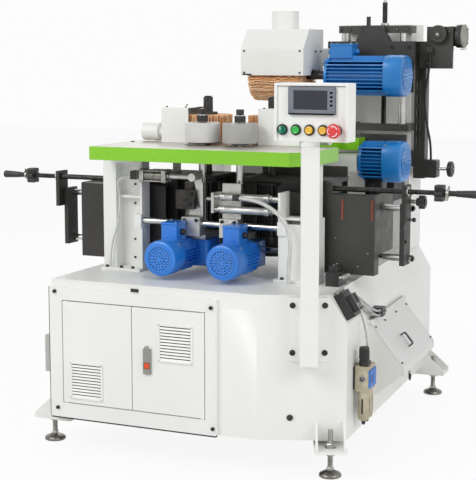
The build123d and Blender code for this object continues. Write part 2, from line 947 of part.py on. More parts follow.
def chute_cover():
    knuckle = [on_lid(barrel_at[0] + 2, barrel_at[1] + 3), on_lid(barrel_at[0] + 1, barrel_at[1] - 3)]
    sheet_points = [on_lid(lid_start, 0), on_lid(lid_run, 0), on_lid(lid_run, cover_t),
                    on_lid(4 * barrel_r, cover_t)] + knuckle
    lid = hopper_prism(sheet_points, 0, hopper_len)
    lip_z = hopper_lip_z - hopper_lip
    lip = [(hopper_out, lip_z), (hopper_out + cover_t, lip_z), (hopper_out + cover_t, hopper_lip_z + past),
           on_lid(lid_run, cover_t), (hopper_out, hopper_lip_z)]
    lid += hopper_prism(lip, 0, hopper_len)
    axis = on_lid(*barrel_at)
    lid += hopper_rod(axis, 0, hopper_len, barrel_r)
    lid -= hopper_rod(axis, -past, hinge_pin_len + slip, hinge_pin_r + run_fit)
    lid -= hopper_rod(axis, hopper_len - hinge_pin_len - slip, hopper_len + past, hinge_pin_r + run_fit)
    a, b = around(handle_share[0] * lid_run, handle_len / 2)
    bow = [(a, cover_t - past), (a, handle_rise - handle_t), (a + handle_t, handle_rise), (b - handle_t, handle_rise),
           (b, handle_rise - handle_t), (b, cover_t - past)]
    grip = [(a + handle_t, cover_t - past), (a + handle_t, handle_rise - 1.5 * handle_t), (a + 1.5 * handle_t,
            handle_rise - handle_t), (b - 1.5 * handle_t, handle_rise - handle_t), (b - handle_t,
            handle_rise - 1.5 * handle_t), (b - handle_t, cover_t - past)]
    plane = hopper_frame().offset(handle_share[1] * hopper_len - handle_w / 2)
    strap = plane * Polygon(*[on_lid(*p) for p in bow + grip[::-1]], align=None)
    return lid + extrude(strap, amount=handle_w, dir=plane.z_dir)


def left_upright():
    z = (deck_z, shelf_top)
    x0, x1 = left_up_x0, left_up_x1
    step_x = x0 + left_strip
    y0, y1 = upright_front, upright_back
    web = span_box((x0, step_x), (y0, y0 + upright_t), z)
    web += span_box((step_x, step_x + upright_t), (y0, y1), z)
    web += span_box((step_x, x1), (y1 - upright_t, y1), z)
    web += span_box((x1 - upright_t, x1), (y0, y1), z)
    web += span_box((step_x, x1), (y0 + rib_set, y1), (rib_z, rib_z + upright_t))
    web += span_box((x0, x1), (y0, y1), (z[1] - 2 * upright_t, z[1]))
    web += span_box((x0, x1), (y0 - upright_toe, y1), (z[0], z[0] + upright_t))
    ear = eye_r + past
    web += span_box((x1 - boss_in, x1), (left_cyl_y - ear, y0), around(left_cyl_z, ear))
    cap_x = (table_left + band_t + slot_gap, x1 - slot_gap)
    web += span_box(cap_x, (y0, y1), (z[1], plate_under))
    web += span_box((x1 - boss_in, x1), *boss_span)
    seat = x1 - bush_half
    return web - rod((seat, feed_bar_y, feed_bar_z), (x1 + past, feed_bar_y, feed_bar_z), feed_bar_r)


def right_upright():
    x0, x1 = right_up_x0, right_up_x1
    y0, y1 = upright_front, upright_back
    z = (deck_z, right_up_top)
    web = span_box((x0, x0 + upright_t), (y0, y1), z)
    web += span_box((x0, x1), (y0, y0 + upright_t), (deck_z, right_up_top - upright_toe))
    web += span_box((x1 - upright_t, x1), (y0, y1), z)
    web += span_box((x0, x1), (y1 - upright_t, y1), z)
    web += span_box((x0, x1), (y0, y1), (right_up_top - upright_t, right_up_top))
    web += span_box((x0 - upright_t, x1), (y0 - upright_toe, y1), (deck_z, deck_z + upright_t))
    web += span_box(right_leg_x, (y0 + upright_t, y1), (right_up_top - past, plate_under))
    lug_z = (min(right_cyl_z) - boss_half[1], max(right_cyl_z) + boss_half[1])
    web += span_box((right_end_x, right_end_x + upright_t), (right_cyl_y - lug_t - right_rod_r, y1), lug_z)
    web += span_box((x0, x0 + boss_in), *boss_span)
    seat = x0 + bush_half
    return web - rod((x0 - past, feed_bar_y, feed_bar_z), (seat, feed_bar_y, feed_bar_z), feed_bar_r)


def square_tube(x, y, z, wall):
    inner_x = (x[0] + wall, x[1] - wall)
    top = z[1] - wall
    return [span_box(x, (y[0], y[0] + wall), (z[0], top)), span_box(x, (y[1] - wall, y[1]), (z[0], top)),
            span_box((x[0], inner_x[0]), (y[0] + wall, y[1] - wall), (z[0], top)),
            span_box((inner_x[1], x[1]), (y[0] + wall, y[1] - wall), (z[0], top)), span_box(x, y, (top, z[1]))]


def rear_column():
    tower = square_tube((column_x0, column_x1), (column_front, column_back), (deck_z, column_top), sheet)
    shelf = span_box((column_x0, table_rear_right), (table_back - band_h, column_front), (shelf_top - shelf_h, shelf_top))
    half = rear_leg_w / 2
    leg = square_tube(around(rear_leg_x, half), around(rear_leg_y, half), (deck_z, plate_under), sheet)
    return tower + [shelf] + leg


def table_outline():
    return [(table_left, table_front), (table_right - table_corner, table_front),
            (table_right, table_front + table_corner), (table_right, notch_y0), (notch_x, notch_y0),
            (notch_x, notch_y1), (table_rear_right, notch_y1), (table_rear_right, table_back),
            (table_left, table_back)]


def table_inner():
    return offset(Polygon(*table_outline(), align=None), amount=-band_t, kind=Kind.INTERSECTION)


def slot_span(side, x, travel, half):
    return (side * x + travel[0] - half, side * x + travel[1] + half)


def table_slots():
    shaft = feed_shaft_r + slot_gap
    spindle = spindle_r + slot_gap
    leg = hood_leg_w / 2 + slot_gap
    leg_x = side_hood_out - hood_sheet - hood_leg_w / 2
    return [(slot_span(-1, feed_x, left_arm_travel, shaft), around(feed_y, shaft)),
            (slot_span(1, feed_x, right_arm_travel, shaft), around(feed_y, shaft)),
            (slot_span(-1, head_x, left_head_travel, spindle), around(head_y, spindle)),
            (slot_span(1, head_x, right_head_travel, spindle), around(head_y, spindle)),
            (slot_span(-1, leg_x, left_head_travel, leg), around(head_y, spindle)),
            (around(0, trough_half_w), around(axis_y, trough_half_y))]


def table_top():
    plate = extrude(Pos(0, 0, plate_under) * table_inner(), amount=table_t)
    z = (plate_under - past, table_z + past)
    cuts = {table_front, notch_y0 - band_t, notch_y1 + band_t, table_back}
    for x, y in table_slots():
        plate -= span_box(x, y, z)
        cuts.update(y)
    cuts = sorted(cuts)
    strips = []
    for y in zip(cuts, cuts[1:]):
        strips += (plate & span_box((2 * table_left, 2 * table_right), y, z)).solids()
    return strips


def table_band():
    outer = table_outline()
    inner_wires = table_inner().wires()[0].vertices()
    bars = []
    for n in range(len(outer)):
        m = (n + 1) % len(outer)
        ends = [min(inner_wires, key=lambda v: math.dist((v.X, v.Y), outer[k])) for k in (m, n)]
        bars.append(prism_z([outer[n], outer[m]] + [(v.X, v.Y) for v in ends], table_z - band_h, table_z))
    return bars


def chamfer_frame():
    x = bend_x + post_t0 * chamfer_dir[0]
    y = front_y + post_t0 * chamfer_dir[1]
    return Plane(origin=(x, y, 0), x_dir=(chamfer_dir[0], chamfer_dir[1], 0), z_dir=(0, 0, 1))


def post_axis():
    spot = chamfer_frame().from_local_coords(Vector(0, -plate_t - post_w / 2, 0))
    return (spot.X, spot.Y)


def control_post():
    plate = span_box(around(0, plate_w / 2), (-plate_t, 0), (plate_z0, plate_z0 + plate_h))
    tube_y = (-plate_t - post_w, -plate_t)
    half = post_w / 2
    tube = span_box(around(0, half), tube_y, (post_bottom, post_top))
    tube -= span_box(around(0, half - sheet), (tube_y[0] + sheet, tube_y[1] - sheet), (post_bottom - past,
                     post_top - sheet))
    mid_y = -plate_t - half
    stub = rod((0, mid_y, post_top - sheet), (0, mid_y, box_z0 + box_wall + swivel_in), swivel_r)
    return chamfer_frame() * (plate + tube + stub)


def control_places():
    return [control_x0 + n * control_pitch for n in range(5)]


def control_box():
    box_back = box_front_y + box_depth
    shell = span_box((box_x0, box_x1), (box_front_y, box_back), (box_z0, box_z1))
    shell -= span_box((box_x0 + rim_w, box_x1 - rim_w), (box_front_y - past, panel_y), (box_z0 - past, box_z1 - rim_w))
    inside = rim_w + box_wall
    shell -= span_box((box_x0 + inside, box_x1 - inside), (panel_y + panel_t, box_back - box_wall),
                      (box_z0 + box_wall, box_z1 - inside))
    ax, ay = post_axis()
    shell += rod((ax, ay, post_top + slip), (ax, ay, box_z0 + box_wall), swivel_r + swivel_wall)
    shell -= rod((ax, ay, post_top - past), (ax, ay, box_z0 + box_wall + past), swivel_r + run_fit)
    for x in control_places():
        shell += rod((x, panel_y - bezel_h, control_z), (x, panel_y, control_z), bezel_r)
        shell -= rod((x, panel_y - bezel_h - past, control_z), (x, panel_y + panel_t + past, control_z), cap_r + run_fit)
    pocket_x = (screen_x[0] + screen_lip, screen_x[1] - screen_lip)
    pocket_z = (screen_z[0] + screen_lip, screen_z[1] - screen_lip)
    return shell - span_box(pocket_x, (panel_y - past, panel_y + 2 * panel_t), pocket_z)


def touch_screen():
    body = span_box(screen_x, (panel_y - screen_t, panel_y), screen_z)
    body = fillet(body.edges().filter_by(Axis.Y), radius=screen_round)
    inset = screen_lip + slip
    body += span_box((screen_x[0] + inset, screen_x[1] - inset), (panel_y, panel_y + screen_back),
                     (screen_z[0] + inset, screen_z[1] - inset))
    left, right, low, high = glass_inset
    face = panel_y - screen_t
    return body - span_box((screen_x[0] + left, screen_x[1] - right), (face, face + glass_depth),
                           (screen_z[0] + low, screen_z[1] - high))


def broken_front(body, edge):
    return chamfer(body.faces().sort_by(Axis.Y)[0].edges(), length=edge)


def push_button(n):
    x = control_places()[n]
    front = panel_y - bezel_h - cap_proud
    return broken_front(rod((x, front, control_z), (x, front + cap_depth, control_z), cap_r), cap_edge)


def selector_knob():
    x = control_places()[0]
    face = panel_y - bezel_h - dial_h
    knob = rod((x, face, control_z), (x, face + cap_depth - past, control_z), cap_r)
    return knob + span_box(around(x, dial_bar[0]), (face - dial_bar[1], face), around(control_z, cap_r - past))


def emergency_stop():
    x = control_places()[4]
    front = box_front_y - stop_reach
    back = front + stop_h
    stem = rod((x, back, control_z), (x, back + cap_depth + stop_h, control_z), cap_r)
    return broken_front(rod((x, front, control_z), (x, back, control_z), stop_r), stop_edge) + stem


def fan_cowl(r, length, hole, depth, rings):
    bevel = 0.18 * r
    profile = [(0, 0), (r, 0), (r, length - bevel), (r - bevel, length), (0, length)]
    shell = revolve(Plane.XZ * Polygon(*profile, align=None), axis=Axis.Z)
    holes = Sketch()
    for radius, count in rings:
        holes += PolarLocations(radius, count) * Rectangle(hole, hole)
    return shell - extrude(Pos(0, 0, length - depth) * holes, amount=depth + past)


def motor_body(r, length, fin, pitch, count, bell, bore, bore_depth):
    section = Circle(r - fin)
    for n in range(-count, count + 1):
        section += Pos(0, n * pitch) * Rectangle(2 * r, 0.36 * pitch)
        section += Pos(n * pitch, 0) * Rectangle(0.36 * pitch, 2 * r)
    body = extrude(Pos(0, 0, bell) * (section & Circle(r)), amount=length - bell)
    body += extrude(Circle(r - fin / 3), amount=bell)
    return body - Cylinder(bore + run_fit, 2 * bore_depth)


def terminal_box(x, y, z, gland_r, along_x):
    mid = [(a + b) / 2 for a, b in (x, y, z)]
    reach = 1.75 * gland_r
    if along_x:
        plane = Plane(origin=(x[0] - reach, mid[1], mid[2]), x_dir=(0, 1, 0), z_dir=(1, 0, 0))
        length = x[1] - x[0] + 2 * reach
    else:
        plane = Plane(origin=(mid[0], y[0] - reach, mid[2]), x_dir=(0, 0, 1), z_dir=(0, 1, 0))
        length = y[1] - y[0] + 2 * reach
    return span_box(x, y, z) + extrude(plane * RegularPolygon(gland_r, 6), amount=length)


def large_motor(x0, z):
    body_len = motor_end_x - motor_cowl_len - x0
    turn = Pos(x0, axis_y, z) * Rot(0, 90, 0)
    body = turn * motor_body(motor_r, body_len, fin_h, 20, 2, 14, shaft_r, shaft_in)
    cowl = turn * Pos(0, 0, body_len) * fan_cowl(motor_r + 1.5, motor_cowl_len, 8, 6, ((20, 6), (40, 12)))
    return body, cowl


def motor_pads(x0, z, y):
    wide, tall = motor_pad
    last = motor_end_x - motor_cowl_len - 1.7 * wide
    places = (x0 + 0.7 * wide, last) if last - x0 > 4 * wide else (last,)
    return [span_box((x, x + wide), (axis_y + motor_r / 3, y), around(z, tall)) for x in places]


def top_motor():
    body, cowl = large_motor(motor_face_x, top_axis_z)
    long, wide, tall = top_box
    x = (motor_face_x + top_box_set, motor_face_x + top_box_set + long)
    z = (top_axis_z + motor_r - fin_h, top_axis_z + motor_r + tall)
    body += terminal_box(x, around(axis_y, wide / 2), z, 8, True)
    for pad in motor_pads(motor_face_x, top_axis_z, carriage_y):
        body += pad
    return [body, cowl]


def bottom_motor():
    body, cowl = large_motor(low_motor_x0, low_axis_z)
    long, wide, tall = low_box
    x = (low_motor_x0 + low_box_set, low_motor_x0 + low_box_set + long)
    z = (low_axis_z - motor_r - tall, low_axis_z - motor_r + fin_h)
    body += terminal_box(x, around(axis_y, wide / 2), z, 7, False)
    for pad in motor_pads(low_motor_x0, low_axis_z, low_plate_y):
        body += pad
    return [body, cowl]


def flap_wheel(core_r, r, width, flaps):
    flap_t = 0.55 * 2 * math.pi * r / flaps
    ring = Circle(core_r)
    for n in range(flaps):
        ring += Rot(0, 0, 360 * n / flaps) * Pos((core_r + r) / 2 - past, 0) * Rectangle(r - core_r + 2 * past, flap_t)
    return extrude(ring, amount=width)


def cross_brush(core_r, r, flaps, z, motor_x):
    turn = Pos(-brush_half_w, axis_y, z) * Rot(0, 90, 0)
    wheel = turn * flap_wheel(core_r, r, 2 * brush_half_w, flaps)
    shaft = rod((brush_half_w, axis_y, z), (motor_x + shaft_in - 2 * past, axis_y, z), shaft_r)
    return [wheel, shaft]


def top_hood():
    outer = [(hood_front, top_axis_z), (hood_front, hood_knee_z), (hood_bevel_y, hood_top_z),
             (hood_back, hood_top_z), (hood_back, top_axis_z)]
    shell = prism_x(outer, -hood_half_w, hood_half_w)
    bevel = math.atan2(hood_bevel_h, hood_bevel_d)
    low_shift = hood_sheet * math.tan((math.pi / 2 - bevel) / 2)
    top_shift = hood_sheet * math.tan(bevel / 2)
    inner_top = hood_top_z - hood_sheet
    front, back = hood_front + hood_sheet, hood_back - hood_sheet
    void = [(front, top_axis_z - past), (front, hood_knee_z - low_shift), (hood_bevel_y + top_shift, inner_top),
            (back, inner_top), (back, top_axis_z - past)]
    shell -= prism_x(void, *around(0, hood_half_w - hood_sheet))
    flange_x = (hood_half_w - hood_sheet, carriage_x0 + 2 * post_foot)
    shell += span_box(flange_x, (carriage_y - sheet, carriage_y), (top_axis_z + 2 * shaft_r, hood_knee_z))
    out_y = (hood_bevel_y + hood_back) / 2
    shell += rod((0, out_y, hood_top_z), (0, out_y, outlet_top), outlet_r)
    shell -= rod((0, out_y, hood_top_z - 2 * hood_sheet), (0, out_y, outlet_top + past), outlet_r - outlet_wall)
    hole_x = (hood_half_w - 2 * hood_sheet, hood_half_w + hood_sheet)
    return shell - rod((hole_x[0], axis_y, top_axis_z), (hole_x[1], axis_y, top_axis_z), shaft_r + slot_gap)


def top_carriage():
    y = (carriage_y, carriage_y + carriage_t)
    outline = [(carriage_x0, carriage_z0), (carriage_x1, carriage_z0), (carriage_x1, carriage_z1),
               (peak_foot[1], carriage_z1), (peak_x[1], peak_z), (peak_x[0], peak_z), (peak_foot[0], carriage_z1),
               (carriage_x0, carriage_z1)]
    plate = prism_y(outline, *y)
    bush_z = (carriage_z0 + bush_cut, carriage_z1 - bush_cut)
    for x in lift_x:
        plate += span_box(around(x, bush_r), (y[1], lift_y), bush_z)
        plate += rod((x, lift_y, bush_z[0]), (x, lift_y, bush_z[1]), bush_r)
    nut_z = (bush_z[1] - lift_nut_h, bush_z[1])
    plate += span_box(around(screw_x, lift_nut_half), (y[1], lift_y + lift_nut_half), nut_z)
    stud_x = peak_x[0] + 0.3 * (peak_x[1] - peak_x[0])
    stud_y = carriage_y + carriage_t / 2
    plate += rod((stud_x, stud_y, peak_z - past), (stud_x, stud_y, peak_z + peak_stud[1]), peak_stud[0])
    for x, r in ((lift_x[0], lift_r), (lift_x[1], lift_r), (screw_x, screw_r)):
        plate -= rod((x, lift_y, carriage_z0 - past), (x, lift_y, carriage_z1 + past), r + run_fit)
    return plate


def lead_screw():
    collar_r, collar_h = screw_collar
    collar = top_bar_z + bar_t + slip
    square_z = screw_top - screw_square_h
    screw = rod((screw_x, lift_y, low_bar_z + bar_t + slip), (screw_x, lift_y, square_z), screw_r)
    screw += rod((screw_x, lift_y, collar), (screw_x, lift_y, collar + collar_h), collar_r)
    half = screw_square / 2
    return screw + span_box(around(screw_x, half), around(lift_y, half), (square_z - past, screw_top))


def gantry_bar(z, screw_hole):
    bar = span_box((bar_x0, bar_x1), around(lift_y, bar_half_y), (z, z + bar_t))
    lugs = []
    for x in lift_x:
        lugs.append(span_box(around(x, bar_lug), (lift_y + bar_half_y, column_front), (z, z + bar_t)))
        bar -= rod((x, lift_y, z - past), (x, lift_y, z + bar_t + past), lift_r)
    if screw_hole:
        bar -= rod((screw_x, lift_y, z - past), (screw_x, lift_y, z + bar_t + past), screw_r + run_fit)
    return [bar] + lugs


def gantry_post():
    y = (post_y0, post_y1)
    pieces = square_tube((post_x0, post_x1), y, (post_z0, post_z1), sheet)
    slot_x = (post_x0 + 2 * sheet, post_x0 + 2 * sheet + post_slot[0])
    for n in range(post_slots):
        low = post_z0 + post_slot_start + n * post_slot_pitch
        for k in (0, 1):
            pieces[k] -= span_box(slot_x, (y[0] - past, y[1] + past), (low, low + post_slot[1]))
    for low in (post_z0 + post_tie_in, post_z1 - post_tie - post_tie_in):
        pieces.append(span_box((column_x1, post_x0), y, (low, low + post_tie)))
    return pieces


def gantry_arm():
    y = (post_y0 - arm_plate_t, post_y0)
    root = post_x1 + sheet
    plate = span_box((root, arm_x1), y, (arm_z0, arm_z1))
    plate -= rod((knob_x, y[0] - past, knob_z), (knob_x, y[1] + past, knob_z), knob_stem_r + run_fit)
    lap = span_box((post_x1 - arm_lap, root), y, (arm_z0, post_z1))
    clip = span_box(around(clip_x, clip_w / 2), (y[0] - clip_d, y[0]), (clip_z, clip_z + clip_d))
    return [plate, lap, clip]


def angle_drives():
    box_x = arm_x1 - drive_box_in
    top = arm_z1 + drive_box_up
    high = span_box((box_x, box_x + drive_box_w), (post_y0, post_y0 + drive_box_d), (top - drive_box_h, top))
    low = span_box((post_x1, drive_x1), (post_y0, post_y1), around(drive_z, drive_half_h))
    low = fillet(low.edges().filter_by(Axis.Y), radius=drive_round)
    mid_y = (post_y0 + post_y1) / 2
    seat = drive_x1 - wheel_stem_in - 2 * past
    low -= rod((seat, mid_y, drive_z), (drive_x1 + past, mid_y, drive_z), wheel_stem_r + run_fit)
    return [fillet(high.edges().filter_by(Axis.Y), radius=drive_box_round), low]


def gantry_frame():
    return gantry_bar(top_bar_z, True) + gantry_bar(low_bar_z, False) + gantry_post() + gantry_arm() + angle_drives()


def lift_knob():
    back = post_y0 - arm_plate_t - slip
    front = back - knob_t
    knob = broken_front(rod((knob_x, front, knob_z), (knob_x, back, knob_z), knob_r), knob_edge)
    for n in range(knob_lobes):
        a = 2 * math.pi * n / knob_lobes
        x = knob_x + (knob_r + knob_lobe_r / 2) * math.cos(a)
        z = knob_z + (knob_r + knob_lobe_r / 2) * math.sin(a)
        knob -= rod((x, front - past, z), (x, back - knob_lobe_r, z), knob_lobe_r)
    return knob + rod((knob_x, back, knob_z), (knob_x, post_y0 - past, knob_z), knob_stem_r)


def height_knob():
    mid_y = (post_y0 + post_y1) / 2
    stem = rod((drive_x1 - wheel_stem_in, mid_y, drive_z), (wheel_x, mid_y, drive_z), wheel_stem_r)
    wheel = rod((wheel_x, mid_y, drive_z), (wheel_x + wheel_t, mid_y, drive_z), wheel_r)
    return stem + chamfer(wheel.edges().filter_by(GeomType.CIRCLE), length=wheel_edge)


def bottom_housing():
    top = shelf_top - head_travel - slip
    wall = trough_wall
    x = around(0, trough_half_w)
    y = around(axis_y, trough_half_y - wall)
    inner_y = (y[0] + wall, y[1] - wall)
    z = (trough_bottom + wall, top)
    shaft_hole = rod((x[0], axis_y, low_axis_z), (low_motor_x0 + past, axis_y, low_axis_z), shaft_r + sheet)
    trough = [span_box(x, y, (trough_bottom, z[0])), span_box(x, (y[0], inner_y[0]), z),
              span_box(x, (inner_y[1], y[1]), z), span_box((x[0], x[0] + wall), inner_y, z),
              span_box((x[1] - wall, x[1]), inner_y, z) - shaft_hole]
    neck_x = (x[1], low_motor_x0 - wall)
    neck_y = around(axis_y, neck_half_y)
    neck_z = (neck_bottom + wall, top - wall)
    neck = [span_box(neck_x, neck_y, (neck_bottom, neck_z[0])), span_box(neck_x, neck_y, (neck_z[1], top)),
            span_box(neck_x, (neck_y[0], neck_y[0] + wall), neck_z),
            span_box(neck_x, (neck_y[1] - wall, neck_y[1]), neck_z),
            span_box((neck_x[1], low_motor_x0), neck_y, (neck_bottom, top)) - shaft_hole]
    plate_back = low_plate_y + low_plate_t
    plate = span_box(low_plate_x, (low_plate_y, plate_back), [low_axis_z + v for v in low_plate_z])
    slide = span_box(slide_block_x, (plate_back, column_front - slip), [low_axis_z + v for v in slide_block_z])
    return trough + neck + [plate, slide]


def feed_arm(side):
    x = around(side * feed_x, arm_half_w)
    gear_top = feed_axis_z + gear_half_h
    foot_top = gear_top + arm_foot_t
    arm = span_box(x, (gear_y0, gear_y1 - sheet), (gear_top, foot_top))
    arm -= rod((side * feed_x, feed_y, gear_top - past), (side * feed_x, feed_y, foot_top + past), feed_shaft_r + sheet)
    bush_z = (feed_axis_z + feed_motor_r + arm_clear, feed_bar_z + bush_half)
    arm += span_box(x, (feed_bar_y - bush_half, gear_y0), bush_z)
    plate_y = (feed_bar_y + arm_set, feed_bar_y + arm_set + arm_t)
    arm += span_box(x, plate_y, (feed_bar_z, arm_top))
    ends = (x[0] - past, x[1] + past)
    return arm - rod((ends[0], feed_bar_y, feed_bar_z), (ends[1], feed_bar_y, feed_bar_z), feed_bar_r + run_fit)


def left_feed_arm():
    arm = feed_arm(-1)
    ear_y = (feed_bar_y + arm_set, feed_bar_y + arm_set + arm_t)
    arm += span_box(around(eye_x, eye_r), ear_y, (arm_top - past, left_cyl_z))
    arm += rod((eye_x, left_cyl_y - eye_r, left_cyl_z), (eye_x, ear_y[1], left_cyl_z), eye_r)
    stroke = left_cyl_x1 - 2 * cyl_cap
    arm += rod((eye_x, left_cyl_y, left_cyl_z), (stroke, left_cyl_y, left_cyl_z), left_rod_r)
    clamp_x = -feed_x - arm_half_w - clamp_t
    clamp_z = feed_bar_z + clamp_up
    clamp = span_box((clamp_x, clamp_x + clamp_w), (ear_y[0] - clamp_t, ear_y[0]), (clamp_z, clamp_z + clamp_h))
    return [arm, clamp]


def right_feed_arm():
    arm = feed_arm(1)
    plate_y = (feed_bar_y + arm_set, feed_bar_y + arm_set + arm_t)
    lug_z = (min(right_cyl_z) - right_cyl_r, max(right_cyl_z) + right_cyl_r)
    arm += span_box((right_lug_x, right_lug_x + lug_t), (right_cyl_y - lug_t, plate_y[1]), lug_z)
    arm += span_box((right_lug_x, feed_x), plate_y, lug_z)
    tip = right_cyl_x0 + 4 * cyl_cap
    for z in right_cyl_z:
        arm += rod((right_lug_x, right_cyl_y, z), (tip, right_cyl_y, z), right_rod_r)
    return arm


def feed_cylinders():
    y, z = left_cyl_y, left_cyl_z
    barrel = rod((left_cyl_x0, y, z), (left_cyl_x1, y, z), left_cyl_r)
    half = left_cyl_r + sheet / 2
    for x in (left_cyl_x0, left_cyl_x1 - cyl_cap):
        barrel += span_box((x, x + cyl_cap), around(y, half), around(z, half))
    barrel += rod((left_up_x1, y, z), (left_cyl_x0, y, z), eye_r)
    barrel -= rod((left_cyl_x0 + sheet, y, z), (left_cyl_x1 + past, y, z), left_rod_r + run_fit)
    pieces = [barrel]
    y = right_cyl_y
    for n, z in enumerate(right_cyl_z):
        tube = rod((right_cyl_x0, y, z), (right_cyl_x1, y, z), right_cyl_r)
        for x in (right_cyl_x0, right_cyl_x1 - cyl_cap):
            tube += rod((x, y, z), (x + cyl_cap, y, z), right_cyl_r + 1.5)
        tube += rod((right_cyl_x1, y, z), (right_end_x, y, z), right_cyl_r - sheet)
        if n == 0:
            tube += span_box((elbow_x - elbow_w, elbow_x), (hose_y - hose_side, y), around(z + past, hose_side + past))
        tube -= rod((right_cyl_x0 - past, y, z), (right_cyl_x1 - cyl_cap, y, z), right_rod_r + run_fit)
        pieces.append(tube)
    return pieces


def feed_motor(side):
    axis_x = side * (feed_x + worm_offset)
    r = feed_motor_r
    turn = Pos(axis_x, gear_y0, feed_axis_z) * Rot(90, 0, 0)
    body_len = feed_motor_len - feed_cowl_len
    body = turn * motor_body(r, body_len, 7, 16, 2, 12, sheet, past)
    cowl = turn * Pos(0, 0, body_len) * fan_cowl(r + 1, feed_cowl_len, 7, 5, ((16, 6), (32, 12)))
    box_y = (gear_y0 - 2.1 * r, gear_y0 - 0.8 * r)
    box_z = (feed_axis_z + r - 7, feed_axis_z + r + 0.92 * r)
    body += terminal_box(around(axis_x, 0.53 * r), box_y, box_z, 8, True)
    gear_x = (side * (feed_x - gear_half_x), side * (feed_x + worm_offset + gear_out))
    gear_z = around(feed_axis_z, gear_half_h)
    gear = span_box(gear_x, (gear_y0, gear_y1), gear_z)
    gear = fillet(gear.edges().filter_by(Axis.Z), radius=gear_round)
    gear -= rod((side * feed_x, feed_y, gear_z[0] + 2 * sheet), (side * feed_x, feed_y, gear_z[1] + past),
                feed_shaft_r + run_fit)
    return [body, cowl, gear]


def roller(side):
    edge = roller_edge
    profile = [(hub_r + run_fit, 0), (roller_r - edge, 0), (roller_r, edge), (roller_r, roller_h - edge),
               (roller_r - edge, roller_h), (hub_r + run_fit, roller_h)]
    ring = revolve(Plane.XZ * Polygon(*profile, align=None), axis=Axis.Z)
    return Pos(side * feed_x, feed_y, roller_z0) * ring


def roller_hub(side):
    x = side * feed_x
    low = feed_axis_z - gear_half_h + 3 * sheet
    shaft = rod((x, feed_y, low), (x, feed_y, roller_z0), feed_shaft_r)
    hub = rod((x, feed_y, roller_z0), (x, feed_y, roller_z1), hub_r)
    nut_z = roller_z1 + clamp_nut[1]
    nut = prism_up(clamp_nut[0], 12, x, feed_y, roller_z1, nut_z)
    cap = prism_up(cap_nut[0], 8, x, feed_y, nut_z, nut_z + cap_nut[1])
    return [shaft, hub, nut, cap]


def side_head(side):
    def sx(a, b):
        return (side * a, side * b)

    top = head_plate_z + head_plate_t
    y = around(rail_y, slide_half)
    body = span_box(sx(slide_x0, slide_x1), y, (rail_z[0] - slide_drop, head_plate_z))
    body += span_box(sx(head_plate_in, slide_x1), (y[0], head_y + side_motor_r + 2 * sheet), (head_plate_z, top))
    nut_x = sx(slide_x1, slide_x1 + nut_len)
    body += span_box(nut_x, (rod_y - 2 * rod_r, y[1]), (rod_z - 2 * rod_r, top))
    ends = (side * (slide_x0 - past), side * (slide_x1 + nut_len + past))
    for z in rail_z:
        body -= rod((ends[0], rail_y, z), (ends[1], rail_y, z), rail_r + run_fit)
    body -= rod((side * slide_x1, rod_y, rod_z), (ends[1], rod_y, rod_z), rod_r + run_fit)
    body -= rod((side * head_x, head_y, head_plate_z - past), (side * head_x, head_y, top + past), spindle_r + slot_gap)
    mid_z = (rail_z[0] + rail_z[1]) / 2
    for x in (slide_x0 + stand_w, slide_x1 - 2 * stand_w):
        body += span_box(sx(x, x + stand_w), (apron_y + apron_t, y[0]), around(mid_z, stand_h / 2))
    apron = span_box(sx(apron_x0, apron_x1), (apron_y, apron_y + apron_t), apron_z)
    apron += span_box(sx(apron_x1 - apron_t, apron_x1), (apron_y, apron_y + apron_return), apron_z)
    apron += span_box(sx(apron_x0, apron_x1), (apron_y, apron_y + apron_return), (apron_z[1] - apron_t, apron_z[1]))
    far = Axis(origin=(0, 0, 0), direction=(side, 0, 0))
    corner = apron.edges().filter_by(Axis.Z).sort_by(far)[-4:].sort_by(Axis.Y)[0]
    return [body, chamfer(corner, length=apron_round)]


def side_motor(side):
    turn = Pos(side * head_x, head_y, head_plate_z) * Rot(180, 0, 0)
    body_len = head_plate_z - side_motor_bottom - side_cowl_len
    body = turn * motor_body(side_motor_r, body_len, 7, 18, 2, 14, spindle_r, spindle_in + 2 * past)
    cowl = turn * Pos(0, 0, body_len) * fan_cowl(side_motor_r + 1, side_cowl_len, 8, 6, ((30, 10),))
    return [body, cowl]


def side_brush(side):
    x = side * head_x
    wheel = Pos(x, head_y, side_brush_z0) * flap_wheel(side_core_r, side_brush_r, side_brush_h, 28)
    spindle = rod((x, head_y, head_plate_z - spindle_in), (x, head_y, side_brush_z0), spindle_r)
    disc = rod((x, head_y, side_brush_z1), (x, head_y, lock_nut_z), 2 * lock_r)
    nut = prism_up(lock_r, 12, x, head_y, lock_nut_z, lock_nut_z + lock_nut_h)
    return [wheel, spindle, disc, nut]


